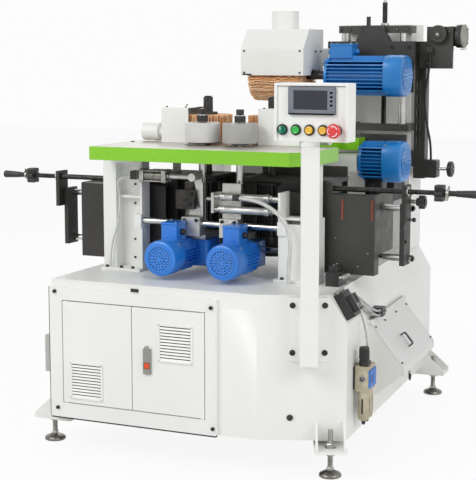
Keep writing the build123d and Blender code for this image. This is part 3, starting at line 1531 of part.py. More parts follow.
def side_hood(side, inner):
    def sx(a, b):
        return (side * a, side * b)

    z = (table_z + slip, side_hood_top)
    y = (side_hood_y0, side_hood_y1)
    shell = span_box(sx(inner, side_hood_out), y, z)
    shell -= span_box(sx(0, side_hood_out - hood_sheet), (y[0] + hood_sheet, y[1] - hood_sheet), (z[0] - past,
                      z[1] - hood_sheet))
    shell -= rod((side * head_x, head_y, z[1] - 2 * hood_sheet), (side * head_x, head_y, z[1] + past), side_core_r)
    out = side * side_hood_out
    neck = out + side * spigot_neck
    tip = neck + side * spigot_len
    step = neck + side * 1.5 * spigot_wall
    shell += rod((out, spigot_y, spigot_z), (tip, spigot_y, spigot_z), spigot_r - spigot_step)
    shell += rod((neck, spigot_y, spigot_z), (tip, spigot_y, spigot_z), spigot_r)
    shell -= rod((out - side * 2 * hood_sheet, spigot_y, spigot_z), (step, spigot_y, spigot_z),
                 spigot_r - spigot_step - spigot_wall)
    shell -= rod((step, spigot_y, spigot_z), (tip + side, spigot_y, spigot_z), spigot_r - spigot_wall)
    leg_x = (side_hood_out - hood_sheet - hood_leg_w, side_hood_out - hood_sheet / 2)
    leg_z = (head_plate_z + head_plate_t, z[1] - 2 * hood_leg_w)
    return shell + span_box(sx(*leg_x), around(head_y, hood_leg_t / 2), leg_z)


def hand_rod(side):
    grip_x = rod_reach - grip_len
    inner = slide_x1 + slot_gap
    bar = rod((side * inner, rod_y, rod_z), (side * grip_x, rod_y, rod_z), rod_r)
    grip = rod((side * grip_x, rod_y, rod_z), (side * rod_reach, rod_y, rod_z), grip_r)
    grip = chamfer(grip.edges().filter_by(GeomType.CIRCLE), length=grip_edge)
    lobes = Circle(0.62 * star_r) + PolarLocations(0.62 * star_r, 6) * RegularPolygon(0.4 * star_r, 6)
    plane = Plane(origin=(side * star_x, rod_y, rod_z), x_dir=(0, 1, 0), z_dir=(side, 0, 0))
    star = extrude(plane * (lobes - Circle(rod_r + run_fit)), amount=star_t)
    return [bar, grip, star]


def bar_brackets():
    pieces = []
    for side in (-1, 1):
        low_x = (side * (bracket_x - bracket_in), side * bracket_x)
        high_x = (side * bracket_x, side * (bracket_x + bracket_out))
        low_z = (rail_z[0] - bracket_down, rail_z[1] + post_half)
        lower = span_box(low_x, (rail_y - 2.5 * post_half, bracket_y1), low_z)
        for z in rail_z:
            lower -= rod((low_x[0] - side, rail_y, z), (low_x[1] + side, rail_y, z), rail_r + run_fit)
        hole = rod_r + run_fit
        y = (bracket_y0, rail_y - post_half)
        pieces += [lower, span_box(high_x, y, (low_z[1] - bracket_lap, rod_z - hole)),
                   span_box(high_x, y, (rod_z + hole, rod_z + bracket_up)),
                   span_box(high_x, (y[0], rod_y - hole), around(rod_z, hole)),
                   span_box(high_x, (rod_y + hole, y[1]), around(rod_z, hole))]
    y = around(rail_y, post_half)
    post = span_box(around(0, post_half), y, (deck_z, rail_z[1] + 2 * post_half))
    post += span_box(around(0, 2 * post_half), (y[0], y[1] + 2 * post_foot), (deck_z, deck_z + post_foot))
    for z in rail_z:
        post -= rod((-2 * post_half, rail_y, z), (2 * post_half, rail_y, z), rail_r + run_fit)
    return pieces + [post]


def guide_bars():
    end = bracket_x + bracket_out
    bars = [rod((-end, rail_y, z), (end, rail_y, z), rail_r) for z in rail_z]
    seat = (left_up_x1 - bush_half, right_up_x0 + bush_half)
    bars.append(rod((seat[0], feed_bar_y, feed_bar_z), (seat[1], feed_bar_y, feed_bar_z), feed_bar_r))
    for x in lift_x:
        bars.append(rod((x, lift_y, low_bar_z), (x, lift_y, top_bar_z + bar_t), lift_r))
    return bars


def wall_frame(along_y):
    x, y = wall_point(along_y)
    return Plane(origin=(x, y, 0), x_dir=(side_out[0], side_out[1], 0), z_dir=(0, 0, 1))


def air_regulator():
    x = (air_gap, air_gap + air_depth)
    mid_x = air_gap + air_depth / 2
    pieces = [span_box((0, air_gap), (sheet, 2 * air_unit_w - sheet), (air_body_z0 + sheet, air_body_z1 - sheet))]
    for n in (0, 1):
        y = (n * air_unit_w, (n + 1) * air_unit_w)
        mid_y = (y[0] + y[1]) / 2
        block = span_box(x, y, (air_body_z0, air_body_z1))
        if n == 0:
            block -= rod((mid_x, -past, inlet_z), (mid_x, inlet_depth, inlet_z), inlet_r)
        neck = (bonnet_r, bonnet_h) if n == 0 else (port_r, port_h)
        pieces += [block, rod((mid_x, mid_y, bowl_z0), (mid_x, mid_y, air_body_z0), bowl_r),
                   rod((mid_x, mid_y, bowl_z0 - drain_h), (mid_x, mid_y, bowl_z0), drain_r),
                   rod((mid_x, mid_y, air_body_z1), (mid_x, mid_y, air_body_z1 + neck[1]), neck[0])]
    return [wall_frame(air_y0) * piece for piece in pieces]


def regulator_knob():
    x, y = air_gap + air_depth / 2, air_unit_w / 2
    low, top = air_body_z1 + slip, air_body_z1 + air_knob_h
    knob = rod((x, y, low), (x, y, top), air_knob_r)
    knob = chamfer(knob.faces().sort_by(Axis.Z)[-1].edges(), length=air_knob_edge)
    return wall_frame(air_y0) * (knob - rod((x, y, low - past), (x, y, low + bonnet_h), bonnet_r + run_fit))


def slope_frame():
    y_mid = (valve_y[0] + valve_y[1]) / 2
    x, y = wall_point(y_mid)
    lean = math.atan2(slope_in, slope_h)
    normal = (side_out[0] * math.cos(lean), side_out[1] * math.cos(lean), math.sin(lean))
    return Plane(origin=(x, y, slope_z), x_dir=(side_dir[0], side_dir[1], 0), z_dir=normal)


def deck_valve_x():
    edge = wall_point(deck_valve_y[1])[0] - slope_in
    return (edge - deck_valve_in[1], edge - deck_valve_in[0])


def valve_block():
    half = (valve_y[1] - valve_y[0]) / 2
    body = span_box(around(0, half), (valve_set, valve_set + valve_len), (0, valve_t))
    body += span_box(around(0, half - coil_in), (2 * valve_set, valve_len - valve_set), (valve_t, valve_t + coil_h))
    x, y = deck_valve_x(), deck_valve_y
    top = deck_z + deck_valve_h
    rear = span_box(x, y, (deck_z, top))
    rear += span_box((x[0] + coil_in, x[1] - coil_in), (y[0] + coil_in, y[1] - 3 * coil_in), (top, top + coil_h))
    block = span_box((0, port_out), (-port_len / 2, port_len / 2), port_z)
    return [slope_frame() * body, rear, wall_frame(port_y) * block]


def hose_route():
    y = hose_y
    high = right_cyl_z[0] + past
    out_x = right_end_x + 2 * bush_half
    turn_z = feed_bar_z - bush_half
    return [(elbow_x, y, high), (elbow_x + 60, y, high), (out_x - 20, y, high - 46), (out_x + 8, y, turn_z),
            (out_x, y, deck_z + 44), (out_x, y, deck_z - deck_t - hose_side)]


def tube_routes():
    half = (valve_y[1] - valve_y[0]) / 2
    valve, port = slope_frame(), wall_frame(port_y)
    run = Vector(side_dir[0], side_dir[1], 0) * tube_lead
    mid_z = (port_z[0] + port_z[1]) / 2
    routes = []
    for up in (-1, 1):
        for out in (-1, 1):
            start = valve.from_local_coords(Vector(half, tube_at[0] + up * tube_step, tube_at[1] + out * tube_step))
            end = port.from_local_coords(Vector(port_seat + out * tube_step, -port_len / 2, mid_z + up * tube_step))
            routes.append([tuple(p) for p in (start, start + run, end - run, end)])
    return routes


def feed_air_route():
    ear_x = left_up_x1 - boss_in
    y = left_cyl_y + hose_side
    high = left_cyl_z - sheet
    rib_x = ear_x - air_bow + hose_r
    strip_x = left_up_x0 + left_strip - hose_side
    front = upright_front - hose_r
    deck_top = deck_z + upright_t
    return [(ear_x, y, high), (ear_x - air_bow, y, high - sheet), (rib_x, upright_front + hose_r, rib_z + sheet),
            (rib_x, front, rib_z - air_fall), (strip_x, front - hose_r, deck_top + air_bow),
            (strip_x, front - hose_r, deck_top)]


def supply_route():
    half = (valve_y[1] - valve_y[0]) / 2
    start = slope_frame().from_local_coords(Vector(half, 0.8 * valve_t, valve_t / 2))
    turn = start + Vector(side_dir[0], side_dir[1], 0) * supply_lead
    spot = Vector(air_gap + air_depth / 2, 1.5 * air_unit_w, air_body_z1 + port_h)
    top = wall_frame(air_y0).from_local_coords(spot)
    return [tuple(start), tuple(turn), (top.X, top.Y, top.Z + supply_lead), tuple(top)]


def air_lines():
    lines = [bent_tube(hose_route(), hose_r), bent_tube(supply_route(), tube_r), bent_tube(feed_air_route(), tube_r)]
    return lines + [bent_tube(route, tube_r) for route in tube_routes()]


def cable_route():
    front = post_y0 - arm_plate_t - 2 * cable_r
    y_end = post_y0 + 3.5 * cable_r
    x = clip_x
    return [(x, front, clip_z), (x, front, clip_z - 50), (x - 18, front + 4, clip_z - 140),
            (x - 8, front + 6, clip_z - 240), (x, y_end, drive_z + drive_half_h + 50), (x, y_end, drive_z + drive_half_h)]


def motor_cable():
    return [bent_tube(cable_route(), cable_r)]


def main():
    os.makedirs("parts", exist_ok=True)
    nodes = {
        "base_walls": base_walls(), "deck_plate": [deck_plate()], "door_surround": door_surround(),
        "switch_panel": switch_panel(), "levelling_feet": levelling_feet(), "chute_cover": [chute_cover()],
        "left_upright": [left_upright()], "right_upright": [right_upright()], "rear_column": rear_column(),
        "table_top": table_top(), "table_band": table_band(), "control_post": [control_post()],
        "guide_bars": guide_bars(), "bar_brackets": bar_brackets(), "feed_cylinders": feed_cylinders(),
        "gantry_frame": gantry_frame(), "air_regulator": air_regulator(), "valve_block": valve_block(),
        "air_lines": air_lines(), "motor_cable": motor_cable(), "left_door": [door(-1, left_vent)],
        "right_door": [right_door()], "lock_lever": [lock_lever()], "lock_button": [lock_button()],
        "control_box": [control_box()], "touch_screen": [touch_screen()], "selector_knob": [selector_knob()],
        "start_button": [push_button(1)], "stop_button": [push_button(2)], "reset_button": [push_button(3)],
        "emergency_stop": [emergency_stop()], "regulator_knob": [regulator_knob()],
        "left_feed_arm": left_feed_arm(), "right_feed_arm": [right_feed_arm()],
        "top_carriage": [top_carriage()], "top_motor": top_motor(), "top_hood": [top_hood()],
        "top_brush": cross_brush(top_core_r, top_brush_r, 30, top_axis_z, motor_face_x),
        "lead_screw": [lead_screw()], "lift_knob": [lift_knob()], "bottom_motor": bottom_motor(),
        "bottom_housing": bottom_housing(), "height_knob": [height_knob()],
        "bottom_brush": cross_brush(low_core_r, low_brush_r, 28, low_axis_z, low_motor_x0),
    }
    for side, name, hood_in in ((-1, "left", left_hood_in), (1, "right", right_hood_in)):
        nodes[name + "_feed_motor"] = feed_motor(side)
        nodes[name + "_roller"] = [roller(side)]
        nodes[name + "_roller_hub"] = roller_hub(side)
        nodes[name + "_side_head"] = side_head(side)
        nodes[name + "_side_motor"] = side_motor(side)
        nodes[name + "_side_brush"] = side_brush(side)
        nodes[name + "_side_hood"] = [side_hood(side, hood_in)]
        nodes[name + "_hand_rod"] = hand_rod(side)
    for name, shapes in nodes.items():
        save(name, *shapes)


main()
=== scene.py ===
import bmesh
import bpy
import math
import random
from mathutils import Matrix, Vector
from mathutils.bvhtree import BVHTree


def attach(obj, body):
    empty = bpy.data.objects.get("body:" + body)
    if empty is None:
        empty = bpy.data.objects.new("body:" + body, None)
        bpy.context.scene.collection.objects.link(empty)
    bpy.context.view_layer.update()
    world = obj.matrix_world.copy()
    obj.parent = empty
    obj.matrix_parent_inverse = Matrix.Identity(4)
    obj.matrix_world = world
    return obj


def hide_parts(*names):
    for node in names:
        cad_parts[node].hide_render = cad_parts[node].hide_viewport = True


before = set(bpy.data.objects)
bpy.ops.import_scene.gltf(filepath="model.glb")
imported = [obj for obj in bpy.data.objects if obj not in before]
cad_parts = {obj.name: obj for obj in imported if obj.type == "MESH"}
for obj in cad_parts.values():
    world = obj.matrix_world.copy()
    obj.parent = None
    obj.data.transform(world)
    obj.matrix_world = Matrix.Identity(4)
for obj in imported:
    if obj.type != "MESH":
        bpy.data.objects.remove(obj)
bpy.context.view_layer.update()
unit = 0.001        # sizes below are in millimetres
scene = bpy.context.scene
random.seed(11)
print("frame loaded:", len(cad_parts), "nodes")


# finishes

def tone(code):
    parts = [int(code[i:i + 2], 16) / 255 for i in (1, 3, 5)]
    lit = [v / 12.92 if v <= 0.04045 else ((v + 0.055) / 1.055) ** 2.4 for v in parts]
    return (*lit, 1.0)


def addNode(tree, kind, **values):
    node = tree.nodes.new("ShaderNode" + kind)
    for key, value in values.items():
        node.inputs[key.replace("_", " ")].default_value = value
    return node


def grain(tree, where, scale, detail, stretch):
    squeeze = addNode(tree, "Mapping", Scale=stretch)
    noise = addNode(tree, "TexNoise", Scale=scale, Detail=detail)
    tree.links.new(where, squeeze.inputs["Vector"])
    tree.links.new(squeeze.outputs["Vector"], noise.inputs["Vector"])
    return noise.outputs["Fac"]


common = dict(toneStops=(0.32, 0.68), rubStops=(0.3, 0.7), coatRough=0.08, bumpDepth=0.0004)


def finish(name, light, dark, rough, bumps, metal=0, coat=0, clear=0, stretch=(1, 1, 1), rub=28):
    mat = bpy.data.materials.new(name)
    mat.use_nodes = True
    tree = mat.node_tree
    shader = tree.nodes["Principled BSDF"].inputs
    shader["Metallic"].default_value = metal
    shader["Coat Weight"].default_value = coat
    shader["Coat Roughness"].default_value = common["coatRough"]
    shader["Transmission Weight"].default_value = clear
    peel, fine, cloud = bumps
    where = addNode(tree, "TexCoord").outputs["Object"]
    ramp = addNode(tree, "ValToRGB")
    for stop, place, code in zip(ramp.color_ramp.elements, common["toneStops"], (dark, light)):
        stop.position = place
        stop.color = tone(code)
    low, high = common["rubStops"]
    gloss = addNode(tree, "MapRange", From_Min=low, From_Max=high, To_Min=rough[0], To_Max=rough[1])
    bump = addNode(tree, "Bump", Strength=peel, Distance=common["bumpDepth"])
    tree.links.new(grain(tree, where, cloud, 5, stretch), ramp.inputs["Fac"])
    tree.links.new(ramp.outputs["Color"], shader["Base Color"])
    tree.links.new(grain(tree, where, rub, 3, stretch), gloss.inputs["Value"])
    tree.links.new(gloss.outputs["Result"], shader["Roughness"])
    tree.links.new(grain(tree, where, fine, 2, stretch), bump.inputs["Height"])
    tree.links.new(bump.outputs["Normal"], shader["Normal"])
    return mat


# each finish: name, light and dark tone, least and most roughness, bump strength with its scale and the
# scale of the clouds in the tone
whitePaint = finish("whitePaint", "#F4F4F0", "#EEEEE9", (0.32, 0.44), (0.16, 420, 2.2))
# lidShadePaint: the white paint made darker, painted shade on the sloping hopper lid
lidShadePaint = finish("lidShadePaint", "#E4E4E1", "#DCDCD8", (0.3, 0.42), (0.16, 420, 3))
limePaint = finish("limePaint", "#8CD026", "#82C620", (0.26, 0.36), (0.12, 380, 3), coat=0.15)
motorBlue = finish("motorBlue", "#1480CC", "#0E70B8", (0.32, 0.44), (0.25, 260, 7), coat=0.25)
feedBlue = finish("feedBlue", "#2C86E4", "#2275D2", (0.28, 0.4), (0.25, 260, 7), coat=0.3)
blackPaint = finish("blackPaint", "#33312F", "#272523", (0.42, 0.58), (0.22, 340, 9))
apronPaint = finish("apronPaint", "#42423D", "#35352F", (0.36, 0.5), (0.18, 300, 4))
tableSteel = finish("tableSteel", "#C9C6BE", "#B4B1A8", (0.28, 0.4), (0.05, 60, 9),
                    metal=0.8, stretch=(90, 3, 3), rub=14)
barSteel = finish("barSteel", "#C9C9C7", "#AFAFAD", (0.14, 0.24), (0.04, 900, 30), metal=1)
zincSteel = finish("zincSteel", "#B9B8B2", "#8F8E88", (0.25, 0.4), (0.12, 700, 120), metal=1)
panelZinc = finish("panelZinc", "#C4C5C1", "#B6B7B3", (0.38, 0.5), (0.08, 300, 8), metal=0.5)
darkSteel = finish("darkSteel", "#4A4846", "#353331", (0.28, 0.42), (0.12, 700, 60), metal=1)
footSteel = finish("footSteel", "#8B8883", "#6E6B66", (0.24, 0.36), (0.1, 700, 50), metal=1)
armSteel = finish("armSteel", "#D6D5D0", "#BDBCB6", (0.3, 0.42), (0.06, 120, 8),
                  metal=0.65, stretch=(6, 60, 6))
padRubber = finish("padRubber", "#E0DFDD", "#D5D4D2", (0.55, 0.7), (0.3, 800, 20))
# shadedRubber: the roller rubber made darker, painted shade for the right roller under the control box and
# hoods
shadedRubber = finish("shadedRubber", "#B5B4B0", "#A8A7A3", (0.55, 0.7), (0.3, 800, 20))
# shadowLineBlack: near black for the thin strips along the door surround, painted shadow of its gap
shadowLineBlack = finish("shadowLineBlack", "#232221", "#191817", (0.5, 0.68), (0.25, 600, 30))
blackPlastic = finish("blackPlastic", "#2A2928", "#201F1E", (0.34, 0.46), (0.18, 900, 25))
greyPlastic = finish("greyPlastic", "#96978E", "#88897F", (0.4, 0.5), (0.15, 900, 25))
paleBox = finish("paleBox", "#BDBFB9", "#B0B2AC", (0.36, 0.48), (0.15, 500, 12))
silverPlastic = finish("silverPlastic", "#7B8089", "#70757E", (0.38, 0.48),
                       (0.12, 1200, 30), metal=0.25)
screenGlass = finish("screenGlass", "#20242E", "#191D27", (0.16, 0.24), (0.03, 2500, 14),
                     coat=0.2)
redPlastic = finish("redPlastic", "#E5383C", "#D62C32", (0.24, 0.34), (0.06, 900, 30),
                    coat=0.4)
lockRed = finish("lockRed", "#E8531F", "#DA4717", (0.3, 0.42), (0.1, 900, 40))
greenPlastic = finish("greenPlastic", "#24C548", "#18AF3B", (0.2, 0.3), (0.06, 900, 40),
                      coat=0.4)
dialGreen = finish("dialGreen", "#1B8C6E", "#137559", (0.26, 0.36), (0.08, 900, 40),
                   coat=0.3)
yellowPlastic = finish("yellowPlastic", "#F6C430", "#EAB322", (0.22, 0.32), (0.06, 900, 40),
                       coat=0.4)
whitePlastic = finish("whitePlastic", "#EDEDEA", "#E2E2DE", (0.3, 0.42), (0.08, 900, 40))
castAlloy = finish("castAlloy", "#C6BCA4", "#ADA48C", (0.34, 0.48), (0.35, 520, 40), metal=0.6)
airBlue = finish("airBlue", "#2F7AD2", "#2468BC", (0.3, 0.4), (0.1, 800, 40))
clearHose = finish("clearHose", "#D8D9D6", "#BFC1BF", (0.16, 0.26), (0.2, 420, 60),
                   clear=0.35, coat=0.3)
cableSheath = finish("cableSheath", "#2E2D2B", "#232221", (0.45, 0.6), (0.2, 800, 50))
paleSheath = finish("paleSheath", "#DCDCD8", "#C8C8C4", (0.3, 0.42), (0.15, 800, 50))
ventShade = finish("ventShade", "#4E5158", "#42454C", (0.5, 0.65), (0.1, 500, 20))
brickStrip = finish("brickStrip", "#8E4A36", "#7A3B2A", (0.45, 0.6), (0.2, 600, 40))
fibre = (1, 1, 0.35)
flapOrange = finish("flapOrange", "#FFCB98", "#EFB077", (0.7, 0.85), (0.8, 900, 240),
                    stretch=fibre)
flapTan = finish("flapTan", "#FFE4C2", "#F2CC9F", (0.75, 0.9), (0.8, 1000, 260), stretch=fibre)
flapBrown = finish("flapBrown", "#E6A878", "#CC8A5C", (0.75, 0.9), (0.7, 900, 220),
                   stretch=fibre)


# shapes in millimetres

front = (0, -1, 0)
right = (1, 0, 0)
upward = (0, 0, 1)
sides = ((-1, "left"), (1, "right"))
corners = ((-1, -1), (-1, 1), (1, -1), (1, 1))
home = Matrix.Identity(4)


def shift(x, y, z):
    return Matrix.Translation((x, y, z))


def up(place, h):
    return place @ shift(0, 0, h)


def spin(way, degrees):
    return Matrix.Rotation(math.radians(degrees), 4, way)


def axes(origin, x, y, z):
    place = Matrix((x, y, z)).transposed().to_4x4()
    place.translation = origin
    return place


def onFront(x, y, z):
    return axes((x, y, z), right, upward, front)


def onRight(x, y, z):
    return axes((x, y, z), (0, 1, 0), upward, right)


def along(a, b):
    way = (Vector(b) - Vector(a)).normalized()
    return shift(*a) @ way.to_track_quat("Z", "Y").to_matrix().to_4x4()


def facing(spot, way):
    return along(spot, Vector(spot) + Vector(way))


def polar(r, degrees, h=0):
    turn = math.radians(degrees)
    return Vector((r * math.cos(turn), r * math.sin(turn), h))


def swell(degrees, power):
    return sum(abs(v) ** power for v in polar(1, degrees).xy) ** (-1 / power)


def quad(low, high, n, m):
    spots = [low[n % len(low)], low[m % len(low)], high[m % len(high)], high[n % len(high)]]
    return list(dict.fromkeys(spots))


bm = bmesh.new()        # the open mesh: shapes go into it, piece() takes it and opens the next


def loft(loops, mat=0, caps=True):
    loops = [[bm.verts.new(spot) for spot in loop] for loop in loops]
    faces = [loops[0], loops[-1]] if caps else []
    for low, high in zip(loops, loops[1:]):
        steps = max(len(low), len(high))
        faces += [quad(low, high, n, (n + 1) % steps) for n in range(steps)]
    for face in faces:
        if len(face) > 2:
            bm.faces.new(face).material_index = mat


def turned(profile, place, steps=40, mat=0):
    rings = []
    for r, h, *power in profile:
        turns = [360 * n / steps for n in range(steps if r > 0 else 1)]
        rings.append([place @ polar(r * swell(turn, *power) if power else r, turn, h) for turn in turns])
    loft(rings, mat, False)


def disc(r, h, place, steps=40, mat=0, edge=0.8):
    turned([(0, 0), (r - edge, 0), (r, edge), (r, h - edge), (r - edge, h), (0, h)], place, steps, mat)


def ring(inner, outer, h, place, steps=40, mat=0, edge=0.5):
    turned([(inner, 0), (outer - edge, 0), (outer, edge), (outer, h - edge), (outer - edge, h),
            (inner, h), (inner, 0)], place, steps, mat)


def slab(outline, h, place, mat=0):
    loft([[place @ Vector((x, y, z)) for x, y in outline] for z in (0, h)], mat)


def oblong(x, y):
    return [(x[0], y[0]), (x[1], y[0]), (x[1], y[1]), (x[0], y[1])]


def block(x, y, z, mat=0):
    slab(oblong(x, y), z[1] - z[0], shift(0, 0, z[0]), mat)


def roundedBlock(x, y, z, r, place, mat=0, steps=5):
    outline = []
    for cx, cy, start in ((x[1] - r, y[1] - r, 0), (x[0] + r, y[1] - r, 90), (x[0] + r, y[0] + r, 180),
                          (x[1] - r, y[0] + r, 270)):
        for n in range(steps + 1):
            spot = polar(r, start + 90 * n / steps)
            outline.append((cx + spot.x, cy + spot.y))
    slab(outline, z[1] - z[0], up(place, z[0]), mat)


def hexHead(r, h, place, mat=0):
    slab([polar(r, 60 * n).xy for n in range(6)], h * 0.8, place, mat)
    turned([(0.9 * r, h * 0.8), (0.78 * r, h), (0, h)], place, 6, mat)


def capScrew(r, place, mat=0, socketMat=None):
    h = 1.1 * r
    well = 0.52 * r
    turned([(0, 0), (r, 0), (r, h - 0.15 * r), (0.86 * r, h), (well, h)], place, 20, mat)
    inside = mat if socketMat is None else socketMat
    turned([(well, h), (well * 0.95, 0.4 * h), (0, 0.4 * h)], place, 6, inside)


def screws(r, way, spots, mat=0, socketMat=1):
    for spot in spots:
        capScrew(r, facing(spot, way), mat, socketMat)


def boltHead(r, place, mat=0):
    turned([(0, 0), (1.7 * r, 0), (1.7 * r, 0.25 * r), (0, 0.25 * r)], place, 24, mat)
    hexHead(r * 1.2, 0.9 * r, up(place, 0.25 * r), mat)


def threaded(r, pitch, length, place, depth, steps=18, mat=0):
    rows = int(length / pitch * 4)
    rings = []
    for k in range(rows + 1):
        h = length * k / rows
        cuts = [depth * abs(2 * ((h / pitch - n / steps) % 1) - 1) for n in range(steps)]
        rings.append([place @ polar(r - cut, 360 * n / steps, h) for n, cut in enumerate(cuts)])
    loft(rings, mat)


def knurled(r, h, place, teeth, cut, mat=0):
    steps = teeth * 4
    outline = [polar(r - (cut if n % 4 > 1 else 0), 360 * (n + 0.5) / steps).xy for n in range(steps)]
    slab(outline, h, place, mat)


def lobed(r, dip, lobes, h, place, mat=0, steps=96):
    outline = []
    for n in range(steps):
        turn = 360 * n / steps
        dent = (0.5 - 0.5 * math.cos(math.radians(lobes * turn))) ** 1.4
        outline.append(polar(r - dip * dent, turn).xy)
    slab(outline, h, place, mat)


def roundBar(a, b, r, edge=1.2, steps=36):
    length = (Vector(b) - Vector(a)).length
    well = 0.28 * r
    sink = 2.2
    turned([(0, sink), (well, 0), (r - edge, 0), (r, edge), (r, length - edge), (r - edge, length),
            (well, length), (0, length - sink)], along(a, b), steps)


def piece(name, body, mats, replaced=None, edge=0, angle=38, own=True):
    global bm
    if own:
        bmesh.ops.scale(bm, vec=(unit, unit, unit), verts=bm.verts)
        bmesh.ops.recalc_face_normals(bm, faces=bm.faces)
    mesh = bpy.data.meshes.new(name)
    bm.to_mesh(mesh)
    bm.free()
    bm = bmesh.new()
    for mat in mats:
        mesh.materials.append(mat)
    mesh.shade_smooth()
    mesh.set_sharp_from_angle(angle=math.radians(angle))
    obj = bpy.data.objects.new(name, mesh)
    scene.collection.objects.link(obj)
    if edge:
        soft = obj.modifiers.new("edgeBreak", "BEVEL")
        soft.width = edge * unit
        soft.segments = 2
        soft.limit_method = "ANGLE"
        soft.angle_limit = math.radians(angle)
        soft.harden_normals = True
        soft.use_clamp_overlap = True
    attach(obj, body)
    if replaced:
        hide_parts(replaced)


probe = dict(lift=0.3, ways=(
    (0.31, 0.17, 0.94), (-0.87, 0.23, 0.43), (0.12, -0.91, -0.39), (0.71, 0.66, -0.25),
    (-0.44, -0.35, -0.83)))


def dropInner():
    tree = BVHTree.FromBMesh(bm)
    ways = [Vector(way).normalized() for way in probe["ways"]]
    inner = []
    for face in bm.faces:
        spot = face.calc_center_median() + face.normal * probe["lift"] * unit
        hits = [(tree.ray_cast(spot, way), way) for way in ways]
        inside = sum(1 for hit, way in hits if hit[0] is not None and hit[1].dot(way) > 0)
        if inside > len(ways) / 2:
            inner.append(face)
    bmesh.ops.delete(bm, geom=inner, context="FACES")


tableEnd = dict(x=225, y=225, more=27)


def sheetCopy(node, body, mats, edge, choose):
    bm.from_mesh(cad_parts[node].data)
    bmesh.ops.remove_doubles(bm, verts=bm.verts, dist=0.01 * unit)
    dropInner()
    if node in ("table_top", "table_band"):
        for vert in bm.verts:
            if vert.co.x > tableEnd["x"] * unit and vert.co.y > tableEnd["y"] * unit:
                vert.co.x += tableEnd["more"] * unit
    if choose:
        left = [face for face in bm.faces if choose(face.calc_center_median() / unit) < 0]
        bmesh.ops.delete(bm, geom=left, context="FACES")
    bmesh.ops.dissolve_limit(bm, angle_limit=math.radians(0.5), verts=bm.verts, edges=bm.edges)
    for face in bm.faces:
        face.material_index = choose(face.calc_center_median() / unit) if choose else 0
    piece(node + "Skin", body, mats, node, edge, 30, False)


def route(name, points, diameter, mat, replaced):
    curve = bpy.data.curves.new(name, "CURVE")
    curve.dimensions = "3D"
    spline = curve.splines.new("NURBS")
    spline.points.add(len(points) - 1)
    for point, at in zip(spline.points, points):
        point.co = (*[v * unit for v in at], 1.0)
    spline.order_u = 3
    spline.use_endpoint_u = True
    curve.resolution_u = 10
    plain = bpy.data.objects.new(name + "Line", curve)
    scene.collection.objects.link(plain)
    line = bpy.data.meshes.new_from_object(plain)
    bpy.data.objects.remove(plain)
    bpy.data.meshes.remove(line)
    curve.bevel_depth = diameter / 2 * unit
    curve.bevel_resolution = 4
    curve.use_fill_caps = True
    curve.materials.append(mat)
    obj = bpy.data.objects.new(name, curve)
    scene.collection.objects.link(obj)
    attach(obj, "base")
    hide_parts(replaced)


# camera, light and floor

view = dict(place=(1.723, -3.951, 1.184), tilt=(82.0, 0.0, 24.34), lens=101.25, sensor=36.0)
cameraData = bpy.data.cameras.new("camera")
cameraData.sensor_fit = "VERTICAL"
cameraData.sensor_height = view["sensor"]
cameraData.sensor_width = view["sensor"]
cameraData.lens = view["lens"]
camera = bpy.data.objects.new("camera", cameraData)
camera.location = view["place"]
camera.rotation_euler = [math.radians(v) for v in view["tilt"]]
scene.collection.objects.link(camera)
scene.camera = camera
scene.view_settings.view_transform = "Standard"

studio = dict(sky=0.5, skyTone=(0.96, 0.98, 1, 1), white=(0.976, 0.976, 0.976, 1), floor=14,
              floorTone="#F2F2F1", floorRough=0.6, floorGlow=0.9)
lamps = dict(
    keyLight=dict(at=(-1.6, -3.6, 3.2), aim=(0, 0, 0.7), size=(2.4, 2.0), power=78.0),
    fillLight=dict(at=(3.6, -1.6, 2.4), aim=(0, 0, 0.7), size=(2.0, 2.0), power=44.0),
    rimLight=dict(at=(-1.0, 3.4, 3.2), aim=(0, 0, 0.8), size=(2.6, 1.6), power=40.0))


def seenWhite(tree, plain, white):
    path = addNode(tree, "LightPath").outputs
    seen = path["Is Camera Ray"]
    for kind in ("Is Glossy Ray", "Is Transmission Ray"):
        either = addNode(tree, "Math")
        either.operation = "MAXIMUM"
        tree.links.new(seen, either.inputs[0])
        tree.links.new(path[kind], either.inputs[1])
        seen = either.outputs[0]
    mix = addNode(tree, "MixShader")
    tree.links.new(seen, mix.inputs["Fac"])
    tree.links.new(plain, mix.inputs[1])
    tree.links.new(white, mix.inputs[2])
    return mix.outputs[0]


world = bpy.data.worlds.new("studio")
scene.world = world
world.use_nodes = True
sky = world.node_tree
dim = sky.nodes["Background"]
dim.inputs["Color"].default_value = studio["skyTone"]
dim.inputs["Strength"].default_value = studio["sky"]
bright = addNode(sky, "Background", Color=studio["white"], Strength=1)
shown = seenWhite(sky, dim.outputs[0], bright.outputs[0])
sky.links.new(shown, sky.nodes["World Output"].inputs["Surface"])

for name, spec in lamps.items():
    lamp = bpy.data.lights.new(name, "AREA")
    lamp.shape = "RECTANGLE"
    lamp.size, lamp.size_y = spec["size"]
    lamp.energy = spec["power"]
    obj = bpy.data.objects.new(name, lamp)
    obj.location = spec["at"]
    obj.rotation_euler = (Vector(spec["aim"]) - Vector(spec["at"])).to_track_quat("-Z", "Y").to_euler()
    scene.collection.objects.link(obj)

